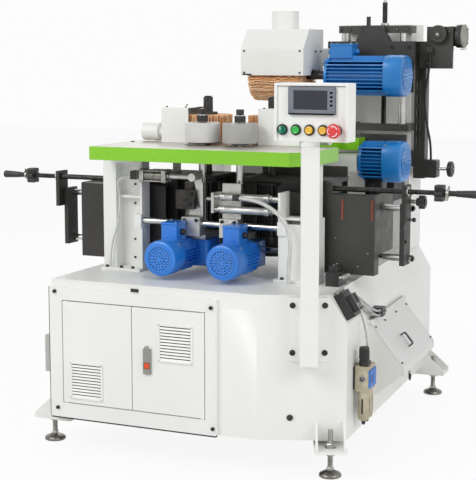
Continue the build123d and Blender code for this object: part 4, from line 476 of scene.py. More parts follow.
floorMesh = bpy.data.meshes.new("floor")
half = (-studio["floor"], studio["floor"])
floorMesh.from_pydata([(x, y, 0) for x, y in oblong(half, half)], [], [(0, 1, 2, 3)])
floor = bpy.data.objects.new("floor", floorMesh)
scene.collection.objects.link(floor)
floorMat = bpy.data.materials.new("paleFloor")
floorMat.use_nodes = True
floorTree = floorMat.node_tree
floorShader = floorTree.nodes["Principled BSDF"]
floorShader.inputs["Base Color"].default_value = tone(studio["floorTone"])
floorShader.inputs["Roughness"].default_value = studio["floorRough"]
glow = addNode(floorTree, "Emission", Strength=1)
blend = addNode(floorTree, "MixShader", Fac=studio["floorGlow"])
floorTree.links.new(floorShader.outputs[0], blend.inputs[1])
floorTree.links.new(glow.outputs[0], blend.inputs[2])
seen = seenWhite(floorTree, floorShader.outputs[0], blend.outputs[0])
floorTree.links.new(seen, floorTree.nodes["Material Output"].inputs["Surface"])
floorMesh.materials.append(floorMat)
print("camera, light and floor set")


# sheet metal taken from the solids, with broken edges

wallOut = (0.99751, 0.07052, 0)         # the right side wall is turned by four degrees
wallBack = (-0.07052, 0.99751, 0)
lid = dict(at=(436.75, 170, 394), across=(0.07052, -0.99751, 0), down=(0.62095, 0.0439, -0.7826),
           out=(0.78065, 0.05519, 0.6225), bow=(80, 145), bowAcross=(235, 262), bowOver=5.5)
lidFrame = axes(lid["at"], lid["across"], lid["down"], lid["out"])


def lidBow(p):
    spot = lidFrame.inverted() @ p
    near = lid["bow"][0] < spot.y < lid["bow"][1] and lid["bowAcross"][0] < spot.x < lid["bowAcross"][1]
    return int(near and spot.z > lid["bowOver"])


# which finish a face takes where a skin has two; a face below zero is left out
choices = dict(
    base_walls=lambda p: int(p.x < -415.5 and 225 < p.z < 345),
    chute_cover=lidBow,
    left_upright=lambda p: int(p.y < -345 and p.z > 795),
    gantry_frame=lambda p: -int(p.x > 497.5 and p.z > 1189 and p.y > 429.9),
    right_side_head=lambda p: int(p.y < -264 or p.x > 486),
    bottom_housing=lambda p: int(p.y > 299 or p.x > 285),
    left_feed_arm=lambda p: int(p.y < -325 and 711 < p.z < 770),
    switch_panel=lambda p: int(p.y < -440))
skins = [
    ("base_walls", "base", [whitePaint, paleBox], 1.5),
    ("deck_plate", "base", [whitePaint], 1.2),
    ("door_surround", "base", [whitePaint], 1.2),
    ("left_door", "left_door", [whitePaint], 0.7),
    ("right_door", "right_door", [whitePaint], 0.7),
    ("lock_lever", "lock_lever", [greyPlastic], 0.8),
    ("lock_button", "lock_button", [lockRed], 1.0),
    # the lid takes the darker white: painted shade
    ("chute_cover", "chute_cover", [lidShadePaint, darkSteel], 0.8),
    ("left_upright", "base", [whitePaint, blackPaint], 1.2),
    ("right_upright", "base", [whitePaint], 1.2),
    ("rear_column", "base", [whitePaint], 1.5),
    ("table_top", "base", [tableSteel], 0.8),
    ("table_band", "base", [limePaint], 1.0),
    ("control_post", "base", [whitePaint], 1.5),
    ("bar_brackets", "base", [blackPaint], 1.2),
    ("gantry_frame", "base", [apronPaint], 1.0),
    ("left_side_head", "left_head", [blackPaint], 1.0),
    ("right_side_head", "right_head", [blackPaint, apronPaint], 1.0),
    ("left_side_hood", "left_head", [whitePaint], 0.8),
    ("right_side_hood", "right_head", [whitePaint], 0.8),
    ("top_hood", "top_head", [whitePaint], 0.9),
    ("top_carriage", "top_head", [blackPaint], 1.2),
    ("bottom_housing", "bottom_head", [whitePaint, blackPaint], 1.0),
    ("left_feed_arm", "left_feed", [armSteel, darkSteel], 1.0),
    ("right_feed_arm", "right_feed", [armSteel], 1.0),
    ("control_box", "control_box", [whitePaint], 0.8),
    ("switch_panel", "base", [panelZinc, greyPlastic], 0.8),
]
for node, body, mats, edge in skins:
    sheetCopy(node, body, mats, edge, choices.get(node))
print("sheet metal pieces:", len(skins))


# motors

lying = dict(y=214, top=1103, bottom=829)                                  # axes of the lying brushes
standing = dict(brushX=110, brushY=-125, rollerX=62.5, rollerY=-265)       # and of the standing ones
diagonals = (45, 135, 225, 315)


def finSection(r, root, reach, pitch, finT, square):
    outline = []
    for quarter in range(4):
        spots = []
        count = int((reach if quarter % 2 else 0.5 * r) / pitch)
        for n in range(-count, count + 1):
            for edge in (-finT / 2, finT / 2):
                low = n * pitch + edge
                base = math.sqrt(max(root * root - low * low, 0.2 * root * root))
                tip = r * (1 - abs(low / r) ** square) ** (1 / square)
                pair = [(base, low), (tip, low)]
                spots += pair if edge < 0 else pair[::-1]
        turn = Matrix.Rotation(quarter * math.pi / 2, 2)
        outline += [turn @ Vector(spot) for spot in spots]
    return outline


def grille(r, rings, cells, place, t):
    radii = [0]
    for at, tall, every, wide in rings:
        radii += [at - tall / 2, at + tall / 2]
    loops = []
    for rad in radii + [r]:
        turns = [360 * n / cells for n in range(cells if rad else 1)]
        loops.append([bm.verts.new(place @ polar(rad, turn)) for turn in turns])
    faces = []
    for k, (low, high) in enumerate(zip(loops, loops[1:])):
        every, wide = rings[k // 2][2:] if k % 2 else (1, 0)
        for n in range(cells):
            if n % every >= wide:
                faces.append(bm.faces.new(quad(low, high, n, (n + 1) % cells)))
    bmesh.ops.recalc_face_normals(bm, faces=faces)
    bmesh.ops.solidify(bm, geom=faces, thickness=t)


def fanWheel(r, place, mat, blades=9):
    disc(0.9 * r, 2, place, 32, mat)
    disc(0.25 * r, 10, place, 24, mat)
    for n in range(blades):
        slab(oblong((0.25 * r, 0.88 * r), (-1, 1)), 11, place @ spin("Z", 360 * n / blades), mat)


def junctionBox(half, h, place, turns, mat, glandMat):
    x, y = half
    roundedBlock((-x, x), (-y, y), (0, h - 7), 6, place, mat)
    roundedBlock((-x - 1.5, x + 1.5), (-y - 1.5, y + 1.5), (h - 6, h), 7, place, mat)
    for sx, sy in corners:
        capScrew(2.6, place @ shift(sx * (x - 5), sy * (y - 5), h), 3)
    for turn in turns:
        gland = place @ spin("Z", turn) @ shift(half[turn // 90 % 2] - 1, 0, 0.45 * h) @ spin("Y", 90)
        hexHead(10, 7, gland, glandMat)
        turned([(8.4, 6), (8.4, 11), (6.4, 15), (0, 15)], gland, 24, glandMat)


def motor(spec, place):
    r, bodyLen, bell, vent, power = [spec[key] for key in ("r", "body", "bell", "vent", "cowlSquare")]
    fins = finSection(r - 1.5, r - spec["fin"], spec["reach"] * r, spec["pitch"], spec["finT"],
                      spec["square"])
    slab(fins, bodyLen - bell, up(place, bell))
    turned([(spec["shaft"] + 1, 0), (0.55 * r, 0), (r - 6, 3), (r - 2, 6), (r - 2, bell), (0, bell)],
           place, 48)
    start = bodyLen - 4
    end = bodyLen + spec["cowl"]
    lip = 0.2 * r
    shell = r + 1.2
    soft = 2 + 0.4 * (power - 2)
    turned([(shell - 2, start, power), (shell, start, power), (shell, end - lip, power),
            (shell - 0.3 * lip, end - 0.3 * lip, power), (shell - lip, end, soft), (vent, end),
            (vent, end - 2), (shell - lip - 1, end - 2, soft), (shell - 2, end - lip, power),
            (shell - 2, start, power)], place, 64)
    grille(vent, spec["rings"], 48, up(place, end), -2)
    fanWheel(r - 8, up(place, end - 15), 1)
    disc(r - 6, 2, up(place, bodyLen + 4), 40, 2)
    rim = shell * swell(45, power)
    for turn in diagonals:
        lug = place @ spin("Z", turn)
        capScrew(3.2, lug @ shift(rim - 1, 0, bodyLen + 6) @ spin("Y", 90), 3)
        slab([(0.8 * r, -7), (r + 1, -5), (r + 1, 5), (0.8 * r, 7)], 11, up(lug, 2))
        capScrew(3.4, lug @ shift(r - 5, 0, 2) @ spin("X", 180), 3)


motorMats = [motorBlue, whitePlastic, blackPlastic, zincSteel]
darkMotorMats = [apronPaint, blackPlastic, blackPlastic, zincSteel]
feedMotorMats = [feedBlue, whitePlastic, blackPlastic, zincSteel]
# each ring of vents: radius, height, cells from one hole to the next, cells a hole takes
bigMotor = dict(r=65, square=4, reach=0.86, cowlSquare=3.4, cowl=58, bell=14, fin=14, pitch=11.5, finT=3.6,
                shaft=14, vent=50, rings=((16, 6, 6, 2), (28, 6, 3, 1), (40, 6, 3, 1)))
feedMotor = dict(r=52.5, square=2.4, reach=0.62, cowlSquare=2, body=108, cowl=62, bell=12, fin=8, pitch=9.5,
                 finT=3.2, shaft=5, vent=40,
                 rings=((9, 4.5, 8, 3), (17, 4.5, 4, 2), (25, 4.5, 3, 1), (33, 4.5, 2, 1)))
sideMotor = dict(r=57, square=2.4, reach=0.62, cowlSquare=2, body=176, cowl=58, bell=14, fin=8, pitch=10.5,
                 finT=3.4, shaft=12, vent=44, rings=((14, 6, 6, 2), (25, 6, 3, 1), (36, 6, 3, 1)))

topMotor = dict(x=163, body=210, box=(216, 56), padX=(183, 323), padLong=30, padY=(244, 299.5),
                padZ=(1067, 1139))
topAxis = shift(0, lying["y"], lying["top"])
motor(dict(bigMotor, body=topMotor["body"]), topAxis @ shift(topMotor["x"], 0, 0) @ spin("Y", 90))
x, z = topMotor["box"]
junctionBox((38, 32), 46, topAxis @ shift(x, 0, z), (0, 180), 0, 0)
for x in topMotor["padX"]:
    block((x, x + topMotor["padLong"]), topMotor["padY"], topMotor["padZ"])
piece("topMotor", "top_head", motorMats, "top_motor", 0.6)

lowMotor = dict(x=284, body=89, box=(330, -56), padX=(323, 353), padY=(240, 291.5), padZ=(795, 863))
lowAxis = shift(0, lying["y"], lying["bottom"])
motor(dict(bigMotor, body=lowMotor["body"]), lowAxis @ shift(lowMotor["x"], 0, 0) @ spin("Y", 90))
x, z = lowMotor["box"]
junctionBox((30, 28), 38, lowAxis @ shift(x, 0, z) @ spin("X", 180), (90, 270), 2, 2)
block(lowMotor["padX"], lowMotor["padY"], lowMotor["padZ"])
piece("bottomMotor", "bottom_head", motorMats, "bottom_motor", 0.6)

gearbox = dict(x=(20.5, 131), y=(-309.5, -220), z=(540, 616), motor=(101, -310, 578), box=(-386, 624),
               flange=539, sideTop=789.5)
for side, label in sides:
    x, y, z = gearbox["motor"]
    motor(feedMotor, shift(side * x, y, z) @ spin("X", 90))
    junctionBox((26.5, 32.5), 54, shift(side * x, *gearbox["box"]), (0,), 0, 2)
    roundedBlock(sorted(side * v for v in gearbox["x"]), gearbox["y"], gearbox["z"], 12, home)
    under = shift(side * standing["rollerX"], standing["rollerY"], gearbox["flange"]) @ spin("X", 180)
    disc(34, 5, under)
    for turn in diagonals:
        capScrew(3, under @ shift(*polar(28, turn, 5)), 3)
    piece(label + "FeedMotor", label + "_feed", feedMotorMats, label + "_feed_motor", 0.6)

    over = shift(side * standing["brushX"], standing["brushY"], gearbox["sideTop"])
    motor(sideMotor, over @ spin("X", 180))
    piece(label + "SideMotor", label + "_head", darkMotorMats, label + "_side_motor", 0.6)
print("motors made")


# flap brushes

loose = dict(lean=0.012, tip=(0.2, 3.5), sway=0.02, thick=(0.8, 1.15), gap=0.25, bend=0.35)


def flapWheel(spec, place):
    core, width, bore, strips, leaves = [spec[key] for key in ("core", "width", "bore", "strips", "leaves")]
    turned([(bore, 0), (core - 2, 0), (core, 2), (core, width - 2), (core - 2, width), (bore, width),
            (bore, 0)], place, 48, 2)
    for flap in range(spec["flaps"]):
        middle = 2 * math.pi * flap / spec["flaps"]
        for leaf in range(leaves):
            lean = middle + (leaf - (leaves - 1) / 2) * spec["fan"]
            lean += random.uniform(-loose["lean"], loose["lean"])
            mat = random.choice((0, 0, 1, 1, 2)) if leaf % 2 else random.choice((0, 1))
            for n in range(strips):
                tip = spec["r"] - random.uniform(*loose["tip"])
                sway = lean + spec["sweep"] + random.uniform(-loose["sway"], loose["sway"])
                thick = spec["thick"] * random.uniform(*loose["thick"])
                low = width * n / strips + loose["gap"]
                high = width * (n + 1) / strips - loose["gap"]
                loops = []
                bend = lean + loose["bend"] * (sway - lean)
                for r, turn in ((core - 1, lean), ((core + tip) / 2, bend), (tip, sway)):
                    turn = math.degrees(turn)
                    off = polar(thick / 2, turn + 90)
                    rims = ((-1, low), (1, low), (1, high), (-1, high))
                    loops.append([place @ (polar(r, turn, h) + way * off) for way, h in rims])
                loft(loops, mat)


def discs(place, rows):
    for r, h, z, steps, mat in rows:
        disc(r, h, up(place, z), steps, mat)


brushMats = [flapOrange, flapTan, flapBrown, blackPaint, darkSteel]
sideFlaps = dict(core=36, r=77.5, width=80, bore=12.5, flaps=26, leaves=4, fan=0.045, sweep=0.06,
                 strips=7, thick=1.7)
lyingFlaps = dict(width=180, bore=14.5, leaves=4, fan=0.05, sweep=0.05, strips=14, thick=1.9)
topFlaps = dict(lyingFlaps, core=45, r=85.5, flaps=26, shaft=268.5)
bottomFlaps = dict(lyingFlaps, core=40, r=75.5, flaps=24, shaft=389.5)
for side, label in sides:
    base = shift(side * standing["brushX"], standing["brushY"], 0)
    flapWheel(sideFlaps, up(base, 906))
    discs(base, ((30, 9, 985, 40, 3), (34, 5, 901, 40, 4), (12, 142, 766, 32, 4), (11, 4, 1039.5, 32, 4)))
    knurled(15, 46, up(base, 994), 8, 2.6, 3)
    piece(label + "SideBrush", label + "_brush", brushMats, label + "_side_brush", angle=30)
for label, spec in (("top", topFlaps), ("bottom", bottomFlaps)):
    base = shift(0, lying["y"], lying[label]) @ spin("Y", 90)
    flapWheel(spec, up(base, -spec["width"] / 2))
    discs(base, ((14, spec["shaft"], -84, 32, 4), (30, 6, -96, 40, 3)))
    piece(label + "Brush", label + "_brush", brushMats, label + "_brush", angle=30)
print("brushes made")


# feed rollers with their clamp nuts

roller = dict(r=53.5, bore=30, low=909, high=968, shaft=551)
for side, label in sides:
    r, bore, low, high = [roller[key] for key in ("r", "bore", "low", "high")]
    base = shift(side * standing["rollerX"], standing["rollerY"], 0)
    turned([(bore + 0.1, low), (r - 3, low), (r - 0.8, low + 0.8), (r, low + 3), (r, high - 3),
            (r - 0.8, high - 0.8), (r - 3, high), (r - 9, high), (r - 10, high - 1.2),
            (bore + 0.1, high - 1.2), (bore + 0.1, low)], base, 72)
    # the right roller takes the darker rubber: painted shade
    piece(label + "Roller", label + "_roller", [padRubber if side < 0 else shadedRubber], label + "_roller")
    turned([(0, low - 6), (bore - 4, low - 6), (bore, low), (bore, high - 2), (bore - 1.5, high), (17, high),
            (0, high)], base, 48)
    disc(12, low - roller["shaft"] + 1, up(base, roller["shaft"]), 32, 1)
    discs(up(base, high), ((15, 4, 20, 32, 1), (6, 18, 24, 24, 1)))
    knurled(17, 20, up(base, high + 2), 9, 2.4, 2)
    knurled(12, 17, up(base, high + 24.5), 4, 4, 2)
    hubMats = [zincSteel, barSteel, blackPaint]
    piece(label + "RollerHub", label + "_roller", hubMats, label + "_roller_hub", 0.4)
print("feed rollers made")


# feet, guide bars, hand rods, cylinders and screws

feet = dict(x=450, y=510, stud=8, pitch=2.5, depth=1.375, padTop=20, top=135, nuts=(61.5, 84.5),
            washers=(73.4, 83))
for sx, sy in corners:
    foot = shift(sx * feet["x"], sy * feet["y"], 0)
    turned([(0, 0), (30, 0), (32, 2), (32, 7), (29, 11), (15, 17), (11, 20), (0, 20)], foot)
    hexHead(11, 9, up(foot, 19), 1)
    studLong = feet["top"] - feet["padTop"]
    threaded(feet["stud"], feet["pitch"], studLong, up(foot, feet["padTop"]), feet["depth"], 18, 1)
    for z in feet["nuts"]:
        hexHead(14, 12, up(foot, z), 1)
    for z in feet["washers"]:
        ring(8.3, 15.5, 1.6, up(foot, z), 32, 1)
piece("feet", "base", [footSteel, zincSteel], "levelling_feet", 0.3)

bars = dict(railY=-200, railZ=(583.004, 730.056), railEnd=582, railR=10, feedX=(-252, 238), feedY=-330,
            feedZ=667.976, liftX=(180, 374), liftY=345, liftZ=(919, 1264), liftR=12)
for z in bars["railZ"]:
    roundBar((-bars["railEnd"], bars["railY"], z), (bars["railEnd"], bars["railY"], z), bars["railR"])
roundBar(*[(x, bars["feedY"], bars["feedZ"]) for x in bars["feedX"]], bars["railR"])
for x in bars["liftX"]:
    roundBar(*[(x, bars["liftY"], z) for z in bars["liftZ"]], bars["liftR"])
piece("guideBars", "base", [barSteel], "guide_bars")

rod = dict(y=-254, z=784.056, start=341, thread=(584, 663), star=(665, 690), grip=(725, 785),
           wings=(68.755, 248.755))
for side, label in sides:
    base = facing((side * rod["start"], rod["y"], rod["z"]), (side, 0, 0))
    spots = [*rod["thread"], *rod["star"], *rod["grip"]]
    low, high, star, starEnd, grip, end = [v - rod["start"] for v in spots]
    turned([(0, 0), (7, 0), (8, 1), (8, low), (0, low)], base, 32)
    threaded(8, 6, high - low, up(base, low), 2, 24)
    turned([(0, high), (8, high), (8, grip), (0, grip)], base, 32)
    lobed(26, 9.5, 6, starEnd - star, up(base, star), 1)
    disc(13, 30, up(base, star - 2), 32, 1)
    turned([(0, grip), (8.4, grip), (9, grip + 1.5), (11.4, end - 8), (11.4, end - 2.5), (10, end - 0.4),
            (3, end), (0, end)], base, 36, 1)
    wing = up(base, starEnd + 6)
    disc(12, 9, wing, 28, 2)
    for turn in rod["wings"]:
        slab([(8, -7), (17, -9), (22, -5), (22, 1), (17, 4), (8, 7)], 4, up(wing @ spin("Z", turn), 3), 2)
    rodMats = [darkSteel, blackPlastic, zincSteel]
    piece(label + "HandRod", label + "_rod", rodMats, label + "_hand_rod", 0.4, 30)

bigCylinder = dict(at=(-221, -358, 809.984), long=89, cap=14, half=20.4, screw=14, tie=15.4)
smallCylinder = dict(x=40, y=-350, z=(755.004, 717.019), long=154)
elbow = dict(x=(90, 104), y=(-382.6, -361), z=(747.6, 764.4), out=(101, -375, 756))
barrel = facing(bigCylinder["at"], right)
long, cap, half = [bigCylinder[key] for key in ("long", "cap", "half")]
turned([(0, 8), (18, 8), (18.4, cap), (18.4, long - cap), (18, long - 8), (0, long - 8)], barrel, 48, 4)
for h in (0, long - cap):
    roundedBlock((-half, half), (-half, half), (h, h + cap), 6, barrel, 2)
for sx, sy in corners:
    capScrew(3.2, barrel @ shift(sx * bigCylinder["screw"], sy * bigCylinder["screw"], long), 2)
    disc(2.2, long - 20, barrel @ shift(sx * bigCylinder["tie"], sy * bigCylinder["tie"], 10), 16, 2, 0.4)
ring(8.2, 12.5, 5, up(barrel, long), 32, 2)
turned([(0, -11), (11, -11), (12, -10), (12, 0), (0, 0)], barrel, 32, 3)
long = smallCylinder["long"]
for z in smallCylinder["z"]:
    tube = facing((smallCylinder["x"], smallCylinder["y"], z), right)
    turned([(4.3, 0), (11.4, 0), (12.4, 1), (12.4, 13), (11.6, 14), (10.9, 15), (10.9, long - 15),
            (11.6, long - 14), (12.4, long - 13), (12.4, long - 1), (11.4, long), (7, long), (7, long + 32),
            (0, long + 32)], tube)
    for h in (4, 8, long - 10, long - 6):
        ring(11, 12.9, 1.6, up(tube, h), 40, 1)
    hexHead(10.5, 8, up(tube, long + 4), 2)
    hexHead(9, 6, up(tube, -7), 2)
block(elbow["x"], elbow["y"], elbow["z"], 3)
ring(6.1, 8.4, 9, facing(elbow["out"], right), 28, 3)
cylinderMats = [armSteel, silverPlastic, zincSteel, blackPlastic, footSteel]
piece("feedCylinders", "base", cylinderMats, "feed_cylinders", 0.5)

leadScrew = dict(at=(310, 345, 0), r=8.95, pitch=5, depth=1.6, low=943.5, long=396, collar=1264.3,
                 square=(1339, 1360))
screw = shift(*leadScrew["at"])
threaded(leadScrew["r"], leadScrew["pitch"], leadScrew["long"], up(screw, leadScrew["low"]),
         leadScrew["depth"], 22)
disc(14, 8, up(screw, leadScrew["collar"]), 36, 1)
roundedBlock((-4.5, 4.5), (-4.5, 4.5), leadScrew["square"], 1.2, screw, 1, 2)
piece("leadScrew", "lead_screw", [darkSteel, barSteel], "lead_screw", 0.3)

drive = facing((498, 461, 1230), right)
turned([(0, 0), (30, 0), (33, 3), (33, 22), (37, 25), (38, 28), (38, 43), (36.5, 45), (0, 45)], drive, 56)
turned([(36.5, 45), (39, 46.5), (39, 51), (36, 54), (30, 54), (28, 52), (0, 52)], drive, 56, 1)
for turn in diagonals:
    capScrew(3, drive @ shift(*polar(33, turn, 53.6)), 2)
block((498, 520), (430, 461), (1200, 1260))
piece("angleDrive", "base", [blackPaint, greyPlastic, zincSteel], edge=0.6)

knob = facing((474, 417.7, 1236), front)
knurled(30, 19, up(knob, 1.5), 30, 1.3)
turned([(0, 0), (27, 0), (28.6, 1.5), (28.6, 20.5), (26, 23), (22, 23), (21, 22), (15, 22), (13, 26), (7, 26),
        (6, 24.6), (0, 24.6)], knob, 48, 2)
turned([(0, -12), (8, -12), (8, 0), (0, 0)], knob, 28, 1)
disc(5.5, 2, up(knob, 24), 24, 1)
piece("liftKnob", "lift_knob", [blackPlastic, zincSteel, apronPaint], "lift_knob", 0.4)

wheel = facing((505, 450, 790), right)
knurled(26, 12, up(wheel, 2), 22, 1.6)
turned([(0, 0), (23, 0), (25, 2), (25, 14), (22, 16), (12, 16), (10, 14.5), (0, 14.5)], wheel, 44)
disc(6, 53, up(wheel, -53), 28, 1)
capScrew(4, up(wheel, 14), 1)
piece("heightKnob", "height_knob", [blackPlastic, barSteel], "height_knob", 0.4)
print("feet, bars, rods, cylinders and knobs made")


# control box front

panel = dict(y=-569, z=972, first=326, pitch=39, x=(310, 507), low=943, top=1090, line=1.6, proud=1.2)


def panelSpot(n, out=0):
    return facing((panel["first"] + n * panel["pitch"], panel["y"] - out, panel["z"]), front)


for n in range(5):
    ring(10.6, 15.2, 4.6, panelSpot(n), 48, 0, 1)
# the two thin black strips along the top and right edge of the panel are painted shade on the box rim's inner
# walls
x, y, top, line = panel["x"], (panel["y"] - panel["proud"], panel["y"]), panel["top"], panel["line"]
block(x, y, (top - line, top))
block((x[1] - line, x[1]), y, (panel["low"], top - 2))
piece("panelRingsAndShadeLines", "control_box", [blackPlastic], edge=0.3)

spot = panelSpot(0, 4)
turned([(0, -18), (10.4, -18), (10.4, 2.6), (9.4, 3.9), (0, 3.9)], spot)
for x, y, h, z, mat in (((-9.4, 9.4), (-3.9, 3.9), 12, 3.9, 0), ((1, 9), (-1.1, 1.1), 0.5, 15.8, 1)):
    slab(oblong(x, y), h, up(spot @ spin("Z", 90), z), mat)
piece("selectorDial", "selector_knob", [dialGreen, whitePlastic], "selector_knob", 0.7)

buttons = (("start_button", greenPlastic), ("stop_button", yellowPlastic), ("reset_button", yellowPlastic))
for n, (node, mat) in enumerate(buttons):
    turned([(0, -13), (10.4, -13), (10.4, 9.4), (9.8, 10.6), (8.4, 11), (7.6, 10.4), (0, 10.2)],
           panelSpot(n + 1), 48)
    piece(node + "Cap", node, [mat], node, angle=40)

arrow = dict(turns=(22.918, 143.239, 263.561), step=6.8755, steps=11, head=71.62, r=(12.4, 14.6),
             z=35.5, t=0.45)
spot = panelSpot(4)
turned([(0, -20), (10.4, -20), (10.4, 22), (17, 22), (19.4, 23.5), (20, 26), (19.6, 31), (17.6, 34.4),
        (14, 35.8), (0, 36)], spot, 56)
for turn in arrow["turns"]:
    turns = [turn + arrow["step"] * k for k in range(arrow["steps"])]
    inner, outer = [[polar(r, t).xy for t in turns] for r in arrow["r"]]
    slab(outer + inner[::-1], arrow["t"], up(spot, arrow["z"]), 1)
    head = up(spot @ spin("Z", turn + arrow["head"]), arrow["z"])
    slab([(11.4, -3.2), (15.4, 0), (11.4, 3.2)], arrow["t"], head, 1)
piece("stopMushroom", "emergency_stop", [redPlastic, whitePlastic], "emergency_stop", 0.2, 42)

screen = dict(x=(344, 479), z=(1013, 1088), glassX=(360, 457), glassZ=(1027, 1078), lip=0.6, keys=4,
              keyPitch=11)
flat = onFront(0, panel["y"], 0)
roundedBlock(screen["x"], screen["z"], (0, 6.4), 4, flat)
x0, x1, z0, z1 = [v + d * screen["lip"] for key in ("x", "z") for v, d in zip(screen[key], (1, -1))]
glassX, glassZ = screen["glassX"], screen["glassZ"]
for x, z in (((x0, glassX[0]), (z0, z1)), ((glassX[1], x1), (z0, z1)), (glassX, (glassZ[1], z1)),
             (glassX, (z0, glassZ[0]))):
    roundedBlock(x, z, (6.2, 9), 1.5, flat)
roundedBlock((346, 477), (1013, 1017.4), (0.4, 9), 1.5, flat, 2)
roundedBlock(glassX, glassZ, (6.2, 7.6), 0.6, flat, 1, 2)
for n in range(screen["keys"]):
    low = 1069 - n * screen["keyPitch"]
    roundedBlock((464, 472), (low, low + 6), (8.6, 9), 1.4, flat, 3)
roundedBlock((351, 472), (1019.5, 1081.5), (-24, 0), 2, flat, 2)
screenMats = [silverPlastic, screenGlass, blackPlastic, greyPlastic]
piece("touchScreen", "control_box", screenMats, "touch_screen", 0.4)
print("controls made")


# air unit, valves and lines

airFrame = axes((477.758, -410, 0), wallOut, wallBack, upward)
slopeFrame = axes((479.313, -432, 430), wallBack, (-0.50822, -0.03593, 0.86048), (0.85833, 0.06068, 0.50949))
portFrame = axes((462.205, -190, 0), wallOut, wallBack, upward)
air = dict(x=29, unit=36, z=(225, 298), portZ=262, knobY=18, lineY=54)
roundedBlock((0, 6), (4, 68), (229, 294), 1.5, airFrame, 3, 2)
for low in (0, air["unit"]):
    high = low + air["unit"]
    roundedBlock((6, 48), (low + 0.6, high - 0.6), air["z"], 4, airFrame)
    roundedBlock((10, 47), (low + 0.1, high - 0.1), (233, 290), 2, airFrame, 0, 2)
    roundedBlock((40, 52), (low + 1.4, high - 1.4), (236, 287), 3, airFrame, 1)
    stand = airFrame @ shift(air["x"], (low + high) / 2, 0)
    turned([(0, 138), (10, 138), (14.5, 141), (16.6, 147), (17, 152), (17, 219), (16, 225), (0, 225)], stand)
    ring(15, 17, 5, up(stand, 219))
    for turn in (0, 90, 180, 270):
        slab(oblong((16.4, 17), (-2.6, 2.6)), 44, up(stand @ spin("Z", turn), 160), 3)
    turned([(0, 126), (4, 126), (5, 128), (5.8, 131), (6, 138), (0, 138)], stand, 24, 3)
    knurled(6, 5, up(stand, 131), 10, 0.8, 3)
inlet = airFrame @ onFront(air["x"], 0.6, air["portZ"])
ring(6.6, 11.5, 3, up(inlet, -1.8), 36, 2)
hexHead(9.5, 3.6, up(inlet, -0.4), 2)
ring(3.6, 6.4, 3, up(inlet, 2.6), 28, 3)
knobStand, lineStand = [airFrame @ shift(air["x"], air[key], air["z"][1]) for key in ("knobY", "lineY")]
disc(7.8, 15, knobStand, 28)
disc(9.8, 8, lineStand, 32, 3)
ring(3.2, 7, 6, up(lineStand, 8), 28, 4)
gauge = airFrame @ onRight(52.2, air["knobY"], air["portZ"])
turned([(0, -3), (12, -3), (12, 0), (10.6, 0.36), (9.8, -0.4), (0, -0.4)], gauge, 36, 3)
disc(9.6, 1, up(gauge, -1.2), 32, 5, 0.2)
airMats = [castAlloy, airBlue, zincSteel, blackPlastic, clearHose, whitePlastic]
piece("airUnit", "base", airMats, "air_regulator", 0.6)

stand = up(knobStand, 0.3)
turned([(8.1, 0), (13.5, 0), (14.6, 1), (14.6, 14), (12.8, 15.5), (12.8, 18)], stand)
knurled(14.9, 27, up(stand, 18), 18, 1.2)
turned([(14.2, 45), (14.2, 51.5), (12.5, 53.7), (0, 53.7)], stand)
turned([(0, 17), (12.8, 17.5)], stand)
piece("regulatorKnob", "regulator_knob", [blackPlastic], "regulator_knob", 0.4)


def pushFit(place):
    ring(3, 5.4, 6, place, 6, 1, 0.4)
    ring(3, 5, 5, up(place, 6), 24, 2, 0.6)


valve = dict(half=30, y=(8, 86), pitch=16, step=6.5, spot=(62, 18), supply=(24, 15), elbows=4, elbowPitch=15)
deckValve = dict(x=(374.13, 414.13), y=(-362, -288), z=(512, 554), coilX=(381, 407), coilPitch=24, portZ=538,
                 portY=(-352, -338, -324, -306))
port = dict(x=(0, 34), y=(-20, 20), z=(404, 430), mid=(417, 20), screwY=(-13, 13))
roundedBlock((-valve["half"], valve["half"]), valve["y"], (0, 30), 3, slopeFrame, 0, 3)
for n in range(3):
    x = (n - 1) * valve["pitch"]
    lower = n % 2
    roundedBlock((x - 7, x + 7), (18 + 4 * lower, 68), (30, 46 - 2 * lower), 2.5, slopeFrame, 0, 3)
    capScrew(2.6, slopeFrame @ shift(x, 78, 30), 1)
    roundedBlock((x - 4, x + 4), (24, 40), (46, 47.8), 1, slopeFrame, 1, 2)
roundedBlock(deckValve["x"], deckValve["y"], deckValve["z"], 3, home, 0, 3)
for n in range(2):
    y = n * deckValve["coilPitch"]
    roundedBlock(deckValve["coilX"], (y - 354, y - 333), (deckValve["z"][1], 571.6), 2.5, home, 0, 3)
    capScrew(3, shift(394, y - 343, 571), 1)
roundedBlock(port["x"], port["y"], port["z"], 2.5, portFrame, 0, 3)
for y in port["screwY"]:
    capScrew(3.2, portFrame @ onRight(port["x"][1], y, port["mid"][0]), 1)
wayValve = slopeFrame @ onRight(valve["half"], 0, 0)
wayPort = portFrame @ axes((0, port["y"][0], 0), upward, right, front)
for sx, sy in corners:
    dx, dy = sx * valve["step"], sy * valve["step"]
    pushFit(wayValve @ shift(valve["spot"][0] + dx, valve["spot"][1] + dy, 0))
    pushFit(wayPort @ shift(port["mid"][0] + dx, port["mid"][1] + dy, 0))
pushFit(wayValve @ shift(*valve["supply"], 0))
for n in range(valve["elbows"]):
    spot = slopeFrame @ shift(valve["half"] - 8 - n * valve["elbowPitch"], 84, 14)
    hexHead(6, 5, spot @ spin("X", -90), 1)
    disc(4.6, 9, spot @ shift(0, 7, -2), 24, 1)
for y in deckValve["portY"]:
    spot = facing((deckValve["x"][1] - 0.03, y, deckValve["portZ"]), right)
    hexHead(6.4, 5, spot, 1)
    disc(5, 9, up(spot, 4.9), 24, 1)
    disc(4.4, 9, shift(425, y, deckValve["portZ"] - 2), 24, 2)
piece("valves", "base", [blackPlastic, zincSteel, clearHose], "valve_block", 0.4)

